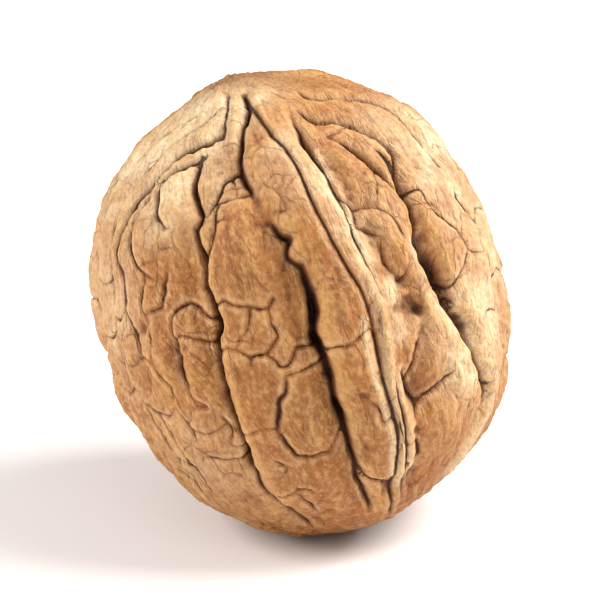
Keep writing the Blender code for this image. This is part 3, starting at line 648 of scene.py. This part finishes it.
# the carving's finer forms, how sharply each kind of groove ends, and how many rounds soften a value
fineCarving = {
    "sharpness": {"Seam Lines": 2.0, "Deep Lines": 2.2, "Furrow Lines": 1.5, "Crack Lines": 1.4},
    "hollowSharpness": 2.4,
    "ridgeSharpness": 4.0,
    "frontFade": 2.0 * mm,
    "softJoin": 0.05 * mm,
    "pullPower": 0.8,
    "unevenMost": 1.15,
    "netPatch": (0.48, 0.62),
    "netPatchSize": 5.0 * mm,
    "netStretch": (1.0, 1.0, 0.7),
    "netLine": 0.05,
    "netSeed": 3.0,
    "pit": (0.08, 0.34),
    "pitPatch": (0.46, 0.62),
    "softSample": 4,
    "softShoulder": 10,
    "softCrest": 24,
    "softFineCrest": 4,
}

# noises: wave length where it is no input of the tree, detail, roughness, seed, and stretch along the nut
noiseSpan = (0.3, 0.7)   # where nearly all of a noise lies
noises = {
    "warp": {"detail": 3.0, "rough": 0.6},
    "uneven": {"size": 2.5 * mm, "detail": 1.0, "seed": 5.0},
    "pitPatch": {"size": 4.0 * mm, "seed": 7.0},
    "ripple": {"detail": 3.0, "rough": 0.6, "seed": 11.0, "stretch": (1, 1, 0.4)},
    "pebble": {"detail": 2.0, "rough": 0.6, "seed": 17.0, "stretch": (1, 1, 0.75)},
    "cloud": {"size": 6.0 * mm, "detail": 4.0, "rough": 0.62, "seed": 2.0},
    "rosy": {"size": 4.5 * mm, "detail": 3.0, "rough": 0.55, "seed": 9.0},
    "mottle": {"size": 1.1 * mm, "detail": 4.0, "rough": 0.68, "seed": 14.0, "stretch": (1, 1, 0.6)},
    "fibre": {"size": 0.42 * mm, "detail": 3.0, "rough": 0.6, "seed": 5.0, "stretch": (1, 1, 0.14)},
    "patch": {"size": 3.0 * mm, "detail": 4.0, "rough": 0.6, "seed": 41.0},
    "speckle": {"size": 0.32 * mm, "detail": 3.0, "rough": 0.65, "seed": 61.0, "stretch": (1, 1, 0.7)},
    "broken": {"size": 1.3 * mm, "detail": 3.0, "rough": 0.6, "seed": 31.0},
    "crease": {"size": 1.6 * mm, "detail": 2.0, "rough": 0.55, "seed": 51.0, "stretch": (1, 1, 0.35)},
    "creasePatch": {"size": 3.5 * mm, "seed": 57.0},
    "dullness": {"size": 1.5 * mm, "detail": 3.0, "seed": 12.0},
    "grain": {"size": 0.30 * mm, "detail": 4.0, "rough": 0.6, "seed": 21.0, "stretch": (1, 1, 0.6)},
    "wrinkle": {"size": 0.85 * mm, "detail": 4.0, "rough": 0.62, "seed": 26.0, "stretch": (1, 1, 0.35)},
}


def noiseOf(tree, key, place):
    return addNoise(tree, place, **noises[key])["Fac"]


def carvedNoise(tree, given, key, place, **size):
    # in the carving every seed is counted from the tree's own, and some sizes are the tree's inputs
    look = {**noises[key], **size}
    look["seed"] = addMath(tree, "ADD", given["Seed"], look["seed"])
    return addNoise(tree, place, **look)["Fac"]


def objectShape(tree, thing):
    source = tree.nodes.new("GeometryNodeObjectInfo")
    plug(tree, source.inputs["Object"], thing)
    return source.outputs["Geometry"]


def nearestTo(tree, shape, place, element="EDGES"):
    near = tree.nodes.new("GeometryNodeProximity")
    near.target_element = element
    plug(tree, near.inputs[0], shape)
    plug(tree, near.inputs["Sample Position"], place)
    return near.outputs


def nearestPoint(tree, shape, place):
    nearest = tree.nodes.new("GeometryNodeSampleNearest")
    plug(tree, nearest.inputs["Geometry"], shape)
    plug(tree, nearest.inputs["Sample Position"], place)
    return nearest.outputs["Index"]


def readPoint(tree, shape, index, key):
    sample = tree.nodes.new("GeometryNodeSampleIndex")
    sample.data_type = "FLOAT"
    sample.domain = "POINT"
    plug(tree, sample.inputs["Geometry"], shape)
    plug(tree, sample.inputs["Value"], named(tree, key))
    plug(tree, sample.inputs["Index"], index)
    return softened(tree, sample.outputs["Value"], fineCarving["softSample"])


def cutOf(tree, shape, place, element, sharpness):
    # how deep the nearest line or spot of an object cuts at a place
    index = nearestPoint(tree, shape, place)
    width = readPoint(tree, shape, index, "grooveWidth")
    depth = readPoint(tree, shape, index, "grooveDepth")
    ratio = addMath(tree, "DIVIDE", nearestTo(tree, shape, place, element)["Distance"], width)
    return addMath(tree, "MULTIPLY", depth, addBell(tree, ratio, sharpness))


def grooveTree():
    tree, given, result = newTree(
        "grooveCut",
        [("Lines", "NodeSocketObject"), ("Place", "NodeSocketVector"), ("Sharpness", "NodeSocketFloat")],
        [("Cut", "NodeSocketFloat")])
    shape = objectShape(tree, given["Lines"])
    plug(tree, result["Cut"], cutOf(tree, shape, given["Place"], "EDGES", given["Sharpness"]))
    return tree


def netLines(tree, place, size, seed):
    # thin lines between small plates, in patches
    net = addCells(tree, addVector(tree, "MULTIPLY", place, fineCarving["netStretch"]), size,
                   "DISTANCE_TO_EDGE")
    patch = addNoise(tree, place, fineCarving["netPatchSize"], seed=seed)["Fac"]
    return addMath(tree, "MULTIPLY", addRange(tree, net, 0.0, fineCarving["netLine"], 1.0, 0.0),
                   addRange(tree, patch, *fineCarving["netPatch"]))


def warped(tree, place, size, amount, seed):
    away = addNoise(tree, place, size, seed=seed, **noises["warp"])["Color"]
    away = addVector(tree, "SUBTRACT", away, (0.5, 0.5, 0.5))
    away = addVector(tree, "SCALE", away, scale=addMath(tree, "MULTIPLY", amount, 2.0))
    return addVector(tree, "ADD", place, away)


def movedPoints(tree, geometry, key, value):
    move = tree.nodes.new("GeometryNodeSetPosition")
    plug(tree, move.inputs["Geometry"], geometry)
    plug(tree, move.inputs[key], value)
    return move.outputs["Geometry"]


def pulledIn(tree, geometry, position, lines, reach):
    # points near a line are drawn towards it, so that its groove has a sharp floor
    near = nearestTo(tree, lines, position)
    share = addMath(tree, "DIVIDE", near["Distance"], reach, clamp=True)
    share = addMath(tree, "POWER", share, fineCarving["pullPower"])
    away = addVector(tree, "SUBTRACT", position, near["Position"])
    place = addVector(tree, "ADD", near["Position"], addVector(tree, "SCALE", away, scale=share))
    return movedPoints(tree, geometry, "Position", place)


def lineCuts(tree, given, position):
    # how deep the lines of all groups cut, uneven along their way
    groove = grooveTree()
    cut = None
    for key, sharpness in fineCarving["sharpness"].items():
        node = tree.nodes.new("GeometryNodeGroup")
        node.node_tree = groove
        for name, value in (("Lines", given[key]), ("Place", position), ("Sharpness", sharpness)):
            plug(tree, node.inputs[name], value)
        found = node.outputs["Cut"]
        cut = found if cut is None else addMath(tree, "SMOOTH_MAX", cut, found, fineCarving["softJoin"])
    uneven = addRange(tree, carvedNoise(tree, given, "uneven", position), *noiseSpan,
                      given["Groove Evenness"], fineCarving["unevenMost"])
    return addMath(tree, "MULTIPLY", cut, uneven)


def seamRidge(tree, given, place):
    # wide on the left of the seam's groove and narrow on its right, and even at the back
    parts = tree.nodes.new("ShaderNodeSeparateXYZ")
    plug(tree, parts.inputs[0], place)
    inFront = addRange(tree, parts.outputs["Y"], fineCarving["frontFade"], -fineCarving["frontFade"])
    offset = addMath(tree, "MULTIPLY", given["Seam Offset"], inFront)
    across = addMath(tree, "ABSOLUTE", addMath(tree, "ADD", parts.outputs["X"], offset))
    ratio = addMath(tree, "DIVIDE", across, given["Seam Half Width"])
    return addBell(tree, ratio, fineCarving["ridgeSharpness"])


def pitMask(tree, given, position, warpedPlace):
    pit = addCells(tree, warpedPlace, given["Pit Size"], "SMOOTH_F1")
    pit = addRange(tree, pit, *fineCarving["pit"], 1.0, 0.0)
    patch = addRange(tree, carvedNoise(tree, given, "pitPatch", position), *fineCarving["pitPatch"])
    return addMath(tree, "MULTIPLY", pit, patch)


def fallFrom(tree, distance, reach):
    # 1 at a line, fading away from it
    ratio = addMath(tree, "DIVIDE", distance, reach)
    return addMath(tree, "EXPONENT", addMath(tree, "MULTIPLY", ratio, -1.0))


def reliefTree():
    inputs = [("Geometry", "NodeSocketGeometry"), ("Finish", "NodeSocketMaterial")]
    inputs += [(key, "NodeSocketObject") for key in ("Every Line", "Hollow Spots", *fineCarving["sharpness"])]
    inputs += [(key, "NodeSocketFloat") for key in carving]
    tree, given, result = newTree("walnutRelief", inputs, [("Geometry", "NodeSocketGeometry")])
    everyLine = objectShape(tree, given["Every Line"])
    position = tree.nodes.new("GeometryNodeInputPosition").outputs[0]
    geometry = pulledIn(tree, given["Geometry"], position, everyLine, given["Pull"])
    warpedPlace = warped(tree, position, given["Warp Size"], given["Warp"], given["Seed"])
    cut = lineCuts(tree, given, position)
    hollow = cutOf(tree, objectShape(tree, given["Hollow Spots"]), warpedPlace, "POINTS",
                   fineCarving["hollowSharpness"])

    # the shell drops towards the deeper grooves: a narrow shoulder, and a broad fall across the plate
    near = nearestTo(tree, everyLine, position)
    index = nearestPoint(tree, everyLine, position)
    share = softened(tree, readPoint(tree, everyLine, index, "shoulder"), fineCarving["softShoulder"])
    falls = [addMath(tree, "MULTIPLY", share, fallFrom(tree, near["Distance"], given[reach]))
             for reach in ("Shoulder Reach", "Plate Reach")]

    # fine cracks between small plates, shallow dimples, ripples and pebbles
    netCut = netLines(tree, warpedPlace, given["Net Size"],
                      addMath(tree, "ADD", given["Seed"], fineCarving["netSeed"]))
    grainPlace = addVector(tree, "ADD", named(tree, "grainPlace", "FLOAT_VECTOR"),
                           addVector(tree, "SUBTRACT", warpedPlace, position))
    ripple = carvedNoise(tree, given, "ripple", grainPlace, size=given["Ripple Size"])
    pebble = carvedNoise(tree, given, "pebble", warpedPlace, size=given["Pebble Size"])

    height = named(tree, "lump")
    for amount, size in ((seamRidge(tree, given, warpedPlace), "Seam Rise"),
                         (centred(tree, ripple), "Ripple Rise"), (centred(tree, pebble), "Pebble Rise")):
        height = addMath(tree, "MULTIPLY_ADD", amount, given[size], height)
    for amount in (cut, hollow):
        height = addMath(tree, "SUBTRACT", height, amount)
    for amount, size in ((falls[0], "Shoulder Drop"), (falls[1], "Plate Drop"), (netCut, "Net Depth"),
                         (pitMask(tree, given, position, warpedPlace), "Pit Depth")):
        height = addMath(tree, "SUBTRACT", height, addMath(tree, "MULTIPLY", amount, given[size]))

    # worked out once for each point, and then kept for the material as well
    kept = tree.nodes.new("GeometryNodeCaptureAttribute")
    plug(tree, kept.inputs["Geometry"], geometry)
    for key, kind, value in (("height", "FLOAT", height),
                             ("depth", "FLOAT", addMath(tree, "ADD", cut, hollow)),
                             ("away", "FLOAT", near["Distance"]),
                             ("strength", "FLOAT", readPoint(tree, everyLine, index, "grooveDepth")),
                             ("spot", "VECTOR", near["Position"])):
        kept.capture_items.new(kind, key)
        plug(tree, kept.inputs[key], value)
    height = kept.outputs["height"]
    geometry = kept.outputs["Geometry"]

    # crests say how far a place stands out of what is round it
    for key, rounds in (("crest", fineCarving["softCrest"]), ("fineCrest", fineCarving["softFineCrest"])):
        crest = addMath(tree, "SUBTRACT", height, softened(tree, height, rounds))
        geometry = storeNumber(tree, geometry, key, addMath(tree, "DIVIDE", crest, mm))
    for key in ("depth", "away", "strength"):
        geometry = storeNumber(tree, geometry, key, addMath(tree, "DIVIDE", kept.outputs[key], mm))
    geometry = storeNumber(tree, geometry, "lineSpot", kept.outputs["spot"], "FLOAT_VECTOR")
    geometry = storeNumber(tree, geometry, "nutPlace", position, "FLOAT_VECTOR")
    way = addVector(tree, "NORMALIZE", position)
    realize = tree.nodes.new("GeometryNodeRealizeInstances")
    plug(tree, realize.inputs["Geometry"],
         movedPoints(tree, geometry, "Offset", addVector(tree, "SCALE", way, scale=height)))
    finish = tree.nodes.new("GeometryNodeSetMaterial")
    plug(tree, finish.inputs["Geometry"], realize.outputs["Geometry"])
    plug(tree, finish.inputs["Material"], given["Finish"])
    plug(tree, result["Geometry"], finish.outputs["Geometry"])
    return tree


def farFrom(points, run):
    squares = (points ** 2).sum(1)[:, None] + (run ** 2).sum(1)[None, :] - 2 * points @ run.T
    return np.sqrt(np.maximum(squares.min(axis=1), 0))


def bellAlong(points, middle, width, sharpness):
    return np.exp(-(farFrom(points, coarseRoute(middle)) / (width * mm)) ** sharpness)


def broadForms(points, lines):
    # bells along each line, joined softly where they meet
    total = np.zeros(len(points))
    for width, height, sharpness, middle in lines:
        total += (height * mm * bellAlong(points, middle, width, sharpness)) ** shell["joinPower"]
    return total ** (1 / shell["joinPower"])


def paleness(points):
    # 1 along the pale ribs, fading to nothing beside them
    return np.max([bellAlong(points, middle, width, 2) for width, _, _, middle in ribLines], axis=0)


def patchy(ways):
    total = np.zeros(len(ways))
    for around, along, spread, share in patches:
        apart = np.degrees(np.arccos(np.clip(ways @ direction(around, along), -1, 1)))
        total += share * np.exp(-(apart / spread) ** 2)
    return total


def grainPlaces(ways):
    # a place to draw grain at, which closes up towards the tip and the base as the shell's own grain does
    flat = ways[:, :2] / np.linalg.norm(ways[:, :2], axis=1).clip(shell["grainCore"])[:, None]
    along = np.arcsin(np.clip(ways[:, 2], -1, 1))[:, None]
    return np.hstack([flat, along]) * shell["halfCheek"]


def lumps(points, rng):
    height = np.zeros(len(points))
    for _ in range(shell["lumpWaves"]):
        way = np.array([rng.gauss(0, 1) for _ in range(3)])
        way = way / np.linalg.norm(way)
        size = shell["lumpSize"] * rng.uniform(*shell["lumpSpread"])
        height += np.sin(2 * math.pi * (points @ way) / size + rng.uniform(0, 2 * math.pi))
    return shell["lumpRise"] * height / math.sqrt(shell["lumpWaves"])


def readCorners(mesh):
    corners = np.zeros(len(mesh.vertices) * 3)
    mesh.vertices.foreach_get("co", corners)
    return corners.reshape(-1, 3)


def plainBody(name):
    ball = bmesh.new()
    bmesh.ops.create_cube(ball, size=2.0)
    bmesh.ops.subdivide_edges(ball, edges=ball.edges, cuts=shell["cells"] - 1, use_grid_fill=True)
    mesh = bpy.data.meshes.new(name)
    ball.to_mesh(mesh)
    ball.free()
    ways = np.tan(readCorners(mesh) * math.pi / 4)
    ways = ways / np.linalg.norm(ways, axis=1)[:, None]
    points = onBody(ways)
    mesh.vertices.foreach_set("co", points.ravel())
    rise = lumps(points, random.Random(shell["seed"]))
    ribs = broadForms(points, ribLines)
    rise += np.maximum(broadForms(points, swellLines), ribs) - broadForms(points, valleyLines)
    for key, numbers in (("lump", rise), ("rib", paleness(points)), ("patch", patchy(ways))):
        keepNumbers(mesh, key, numbers)
    grain = mesh.attributes.new("grainPlace", "FLOAT_VECTOR", "POINT")
    grain.data.foreach_set("vector", grainPlaces(ways).astype(np.float32).ravel())
    return addObject(name, mesh)


def setInputs(modifier, values):
    sockets = {item.name: item.identifier for item in modifier.node_group.interface.items_tree
               if item.in_out == "INPUT"}
    for key, value in values.items():
        modifier[sockets[key]] = value


def layDown(mesh):
    # turned the way it lies, its lowest spot flattened, and stood on the origin
    mesh.transform(Matrix.Rotation(math.radians(-shell["leanLeft"]), 4, "Y")
                   @ Matrix.Rotation(math.radians(-shell["leanBack"]), 4, "X")
                   @ Matrix.Rotation(math.radians(shell["turn"]), 4, "Z"))
    corners = readCorners(mesh)
    floor = corners[:, 2].min() + shell["flatSpotDepth"]
    corners[:, 2] = np.maximum(corners[:, 2], floor)
    low, high = corners.min(0), corners.max(0)
    foot = np.array([(low[0] + high[0]) / 2, (low[1] + high[1]) / 2, low[2]])
    mesh.vertices.foreach_set("co", (corners - foot).ravel())
    mesh.update()
    return Vector(-foot)


def buildShell(finish):
    body = plainBody("plainBody")
    furrows, cracks = farLines(random.Random(shell["seed"]))
    backSeam = [(width, depth, [(180 + around / 2, along) for around, along in points])
                for width, depth, points in seamLine]
    groups = {
        "Seam Lines": seamLine + backSeam,
        "Deep Lines": deepLines,
        "Furrow Lines": furrowLines + furrows,
        "Crack Lines": crackLines + cracks,
    }
    joined = iter(joinedUp([line for group in groups.values() for line in group]))
    groups = {key: [next(joined) for _ in lines] for key, lines in groups.items()}
    groups["Every Line"] = [line for group in groups.values() for line in group]
    noise.seed_set(shell["seed"])   # or the lines would sway another way each run
    guides = {key: lineObject("guide", lines) for key, lines in groups.items()}
    guides["Hollow Spots"] = hollowObject("hollowGuide")
    relief = body.modifiers.new("relief", "NODES")
    relief.node_group = reliefTree()
    setInputs(relief, {**guides, "Finish": finish, **carving})
    view = bpy.context.evaluated_depsgraph_get()
    mesh = bpy.data.meshes.new_from_object(body.evaluated_get(view), preserve_all_data_layers=True,
                                           depsgraph=view)
    mesh.name = "walnutShell"
    for guide in [body, *guides.values()]:
        bpy.data.objects.remove(guide)
    middle = layDown(mesh)
    mesh.shade_smooth()
    return addObject("walnutShell", mesh), middle


# colours of the dry shell, some of them also painted on as shade and highlight, its gloss, and how high its
# finest relief stands or how deep it goes
tints = {
    "ground": (0.375, 0.138, 0.031, 1),
    "pale": (0.62, 0.340, 0.115, 1),
    "rosy": (0.31, 0.100, 0.030, 1),
    # the palest tone: real bleaching, and the painted highlight on the limbs, the ribs and the lips
    "bleachAndHighlight": (0.86, 0.68, 0.43, 1),
    "tanned": (0.25, 0.088, 0.018, 1),
    # umber and deepest also serve as painted shade in the grooves, the hollows and on the groove walls
    "umber": (0.17, 0.055, 0.015, 1),
    "deepest": (0.030, 0.010, 0.004, 1),
}
surface = {
    "roughness": (0.46, 0.64),
    "specular": 0.28,
    "poreSize": 0.9 * mm,
    "pore": (0.04, 0.16),
    "crease": (0.004, 0.022),
    "creasePatch": (0.42, 0.56),
    "patchUneven": (0.5, 1.4),
    "rises": {"grain": 0.10 * mm, "wrinkle": 0.27 * mm, "lines": -0.11 * mm, "net": -0.07 * mm,
              "crease": -0.06 * mm, "pore": -0.05 * mm},
}

# coats of colour, from first to last: what each follows, from where to where, how much it covers, its tint
coats = [
    ("cloud", 0.42, 0.72, 0.45, "pale"),
    # bleached patches: the shell's own paler tone, and painted highlight on the limbs and the upper side
    ("patch", 0.0, 1.0, 1.0, "bleachAndHighlight"),
    ("patch", 0.0, -1.0, 1.0, "tanned"),
    # pale ribs: their own paler tone, and painted highlight
    ("rib", 0.0, 1.0, 0.75, "bleachAndHighlight"),
    ("rosy", 0.50, 0.70, 0.60, "rosy"),
    ("mottle", 0.52, 0.72, 0.30, "pale"),
    ("mottle", 0.48, 0.30, 0.32, "rosy"),
    ("fibre", 0.48, 0.32, 0.15, "umber"),
    # paler on crests and darker in hollows: partly the shell's own tone, partly painted highlight and painted
    # shade
    ("crest", 0.03, 0.30, 0.38, "pale"),
    ("crest", -0.04, -0.36, 0.60, "umber"),
    ("fineCrest", 0.008, 0.05, 0.32, "pale"),
    ("fineCrest", -0.015, -0.09, 0.45, "umber"),
    ("speckle", 0.52, 0.64, 0.13, "bleachAndHighlight"),
    ("speckle", 0.50, 0.38, 0.26, "umber"),
    # pale lips beside the grooves: wear, and a painted highlight
    ("lips", 0.0, 1.0, 0.16, "bleachAndHighlight"),
    ("net", 0.0, 1.0, 0.42, "umber"),
    ("crease", 0.0, 1.0, 0.20, "umber"),
    # painted shade on the groove walls, partly dirt
    ("walls", 0.0, 1.0, 0.60, "umber"),
    # painted shade in the grooves and hollows, darkest at their floors
    ("depth", 0.28, 0.80, 0.75, "umber"),
    ("depth", 0.48, 1.15, 0.95, "deepest"),
    ("lines", 0.0, 1.0, 0.85, "deepest"),
]
# these are shares already, and are followed evenly
evenMasks = ("patch", "rib", "lips", "net", "crease", "walls", "lines")

# how a line looks, by the distance from it and by its depth, in mm where no unit is given
lineLooks = {
    "lipsStart": (0.20, 0.34),
    "lipsEnd": (0.36, 0.75),
    "shows": (0.03, 0.24),
    "whole": (0.15, 0.30),               # a shallower line is broken
    "floor": (0.02 * mm, 0.10 * mm),
    "wholeFloor": (0.04 * mm, 0.06 * mm),   # added where it is whole
    "broken": (0.40, 0.60, 0.45, 1.0),
    "wallStart": 0.10,
    "wallReach": (0.80, 1.20, 0.45, 0.85),
    "wallShows": (0.24, 0.44),
}


def addMix(tree, share, first, second):
    node = tree.nodes.new("ShaderNodeMix")
    node.data_type = "RGBA"
    plug(tree, node.inputs[0], share)
    plug(tree, node.inputs[6], first)
    plug(tree, node.inputs[7], second)
    return node.outputs[2]


def readAttribute(tree, key, wanted="Fac"):
    node = tree.nodes.new("ShaderNodeAttribute")
    node.attribute_name = key
    return node.outputs[wanted]


def thinLines(tree, place):
    # how much of a groove's narrow dark floor shows at a place, how much painted shade, partly dirt, lies on
    # its walls, and how much of the lips beside it shows, worn and with a painted highlight
    gap = addVector(tree, "DISTANCE", place, readAttribute(tree, "lineSpot", "Vector"))
    away, deep = readAttribute(tree, "away"), readAttribute(tree, "strength")
    whole = addRange(tree, deep, *lineLooks["whole"])
    edges = [addMath(tree, "MULTIPLY_ADD", whole, more, least)
             for least, more in zip(lineLooks["floor"], lineLooks["wholeFloor"])]
    broken = addRange(tree, noiseOf(tree, "broken", place), *lineLooks["broken"])
    floor = addMath(tree, "MULTIPLY", addRange(tree, gap, *edges, 1.0, 0.0),
                    addRange(tree, away, *lineLooks["lipsStart"], 1.0, 0.0))
    floor = addMath(tree, "MULTIPLY", floor, addMath(tree, "MAXIMUM", broken, whole))
    # the lips are worn and carry a painted highlight
    lips = addMath(tree, "MULTIPLY", addRange(tree, away, *lineLooks["lipsStart"]),
                   addRange(tree, away, *lineLooks["lipsEnd"], 1.0, 0.0))
    # the walls carry painted shade, partly dirt, reaching further from deeper lines
    reach = addRange(tree, deep, *lineLooks["wallReach"])
    walls = addMath(tree, "MULTIPLY", addRange(tree, away, lineLooks["wallStart"], reach, 1.0, 0.0),
                    addRange(tree, deep, *lineLooks["wallShows"]))
    strength = addRange(tree, deep, *lineLooks["shows"])
    return {"lines": addMath(tree, "MULTIPLY", floor, strength), "walls": walls,
            "lips": addMath(tree, "MULTIPLY", lips, strength)}


def creases(tree, place):
    # thin wandering lines, in patches
    gap = addMath(tree, "ABSOLUTE", addMath(tree, "SUBTRACT", noiseOf(tree, "crease", place), 0.5))
    patch = addRange(tree, noiseOf(tree, "creasePatch", place), *surface["creasePatch"])
    return addMath(tree, "MULTIPLY", addRange(tree, gap, *surface["crease"], 1.0, 0.0), patch)


def shellMasks(tree):
    # everything on the shell that a coat of colour or the finest relief follows
    place = readAttribute(tree, "nutPlace", "Vector")
    grainPlace = readAttribute(tree, "grainPlace", "Vector")
    masks = {key: readAttribute(tree, key) for key in ("rib", "crest", "fineCrest", "depth")}
    masks.update(thinLines(tree, place))
    masks.update({key: noiseOf(tree, key, place) for key in ("cloud", "rosy", "speckle", "dullness")})
    masks.update({key: noiseOf(tree, key, grainPlace) for key in ("mottle", "fibre")})
    uneven = addRange(tree, noiseOf(tree, "patch", place), *noiseSpan, *surface["patchUneven"])
    masks["patch"] = addMath(tree, "MULTIPLY", readAttribute(tree, "patch"), uneven)
    masks["crease"] = creases(tree, grainPlace)
    warpedPlace = warped(tree, place, carving["Warp Size"], carving["Warp"], carving["Seed"])
    masks["net"] = netLines(tree, warpedPlace, carving["Net Size"], carving["Seed"] + fineCarving["netSeed"])
    masks["grain"] = centred(tree, noiseOf(tree, "grain", place))
    masks["wrinkle"] = centred(tree, noiseOf(tree, "wrinkle", grainPlace))
    pores = addCells(tree, place, surface["poreSize"], "F1")
    masks["pore"] = addRange(tree, pores, *surface["pore"], 1.0, 0.0)
    return masks


def shellFinish():
    material = bpy.data.materials.new("walnutShellFinish")
    material.use_nodes = True
    tree = material.node_tree
    shader = tree.nodes["Principled BSDF"]
    masks = shellMasks(tree)
    colour = tints["ground"]
    for key, low, high, most, tint in coats:
        share = addRange(tree, masks[key], low, high, 0.0, most, smooth=key not in evenMasks)
        colour = addMix(tree, share, colour, tints[tint])
    plug(tree, shader.inputs["Base Color"], colour)
    roughness = addRange(tree, masks["dullness"], *noiseSpan, *surface["roughness"])
    plug(tree, shader.inputs["Roughness"], roughness)
    shader.inputs["Specular IOR Level"].default_value = surface["specular"]
    height = 0.0
    for key, rise in surface["rises"].items():
        height = addMath(tree, "MULTIPLY_ADD", masks[key], rise, height)
    bump = tree.nodes.new("ShaderNodeBump")
    bump.inputs["Strength"].default_value = 1.0
    bump.inputs["Distance"].default_value = 1.0
    plug(tree, bump.inputs["Height"], height)
    plug(tree, shader.inputs["Normal"], bump.outputs["Normal"])
    return material


# camera: the photograph's direction and distance, framed on the one nut
eye = {"elevation": 22.0, "distance": 0.5, "lens": 360.0, "sensor": 36.0, "clip": 0.01,
       "aside": (-0.00012, 0, 0)}


def buildCamera(middle):
    data = bpy.data.cameras.new("eye")
    data.lens = eye["lens"]
    data.sensor_width = eye["sensor"]
    data.clip_start = eye["clip"]
    camera = addObject("eye", data)
    rise = math.radians(eye["elevation"])
    back = Vector((0, -math.cos(rise), math.sin(rise)))
    camera.location = middle + Vector(eye["aside"]) + back * eye["distance"]
    camera.rotation_euler = (-back).to_track_quat("-Z", "Y").to_euler()
    bpy.context.scene.camera = camera


floorPlan = {"half": 1.5, "colour": (0.91, 0.89, 0.89, 1), "roughness": 0.75}


def buildFloor():
    half = floorPlan["half"]
    corners = [(-half, -half, 0), (half, -half, 0), (half, half, 0), (-half, half, 0)]
    mesh = bpy.data.meshes.new("floor")
    mesh.from_pydata(corners, [], [(0, 1, 2, 3)])
    material = bpy.data.materials.new("floorFinish")
    material.use_nodes = True
    shader = material.node_tree.nodes["Principled BSDF"]
    shader.inputs["Base Color"].default_value = floorPlan["colour"]
    shader.inputs["Roughness"].default_value = floorPlan["roughness"]
    mesh.materials.append(material)
    floor = addObject("floor", mesh)


# lights: place, size and power of each panel, aimed at the nut, all of one warm white
panels = {
    "key": {"place": (0.34, 0.02, 0.38), "size": 0.32, "power": 4.5},
    "left": {"place": (-0.40, -0.06, 0.26), "size": 0.28, "power": 2.2},
    "front": {"place": (0.15, -0.45, 0.40), "size": 0.4, "power": 0.4},
}
panelColour = (1.0, 0.98, 0.95)
sky = {"colour": (1.0, 0.99, 0.98, 1), "strength": 0.33}


def buildLights(middle):
    for name, panel in panels.items():
        data = bpy.data.lights.new(name, "AREA")
        data.energy = panel["power"]
        data.size = panel["size"]
        data.color = panelColour
        light = addObject(name, data)
        light.location = panel["place"]
        light.rotation_euler = (middle - light.location).to_track_quat("-Z", "Y").to_euler()
    world = bpy.data.worlds.new("studio")
    world.use_nodes = True
    background = world.node_tree.nodes["Background"]
    background.inputs["Color"].default_value = sky["colour"]
    background.inputs["Strength"].default_value = sky["strength"]
    bpy.context.scene.world = world
    bpy.context.scene.view_settings.view_transform = "Standard"


walnut, nutMiddle = buildShell(shellFinish())
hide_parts("walnut")
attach(walnut, "root")
print("shell built:", len(walnut.data.polygons), "faces, middle", tuple(round(part, 5) for part in nutMiddle))

buildCamera(nutMiddle)
buildFloor()
buildLights(nutMiddle)
print("camera, floor and lights placed")
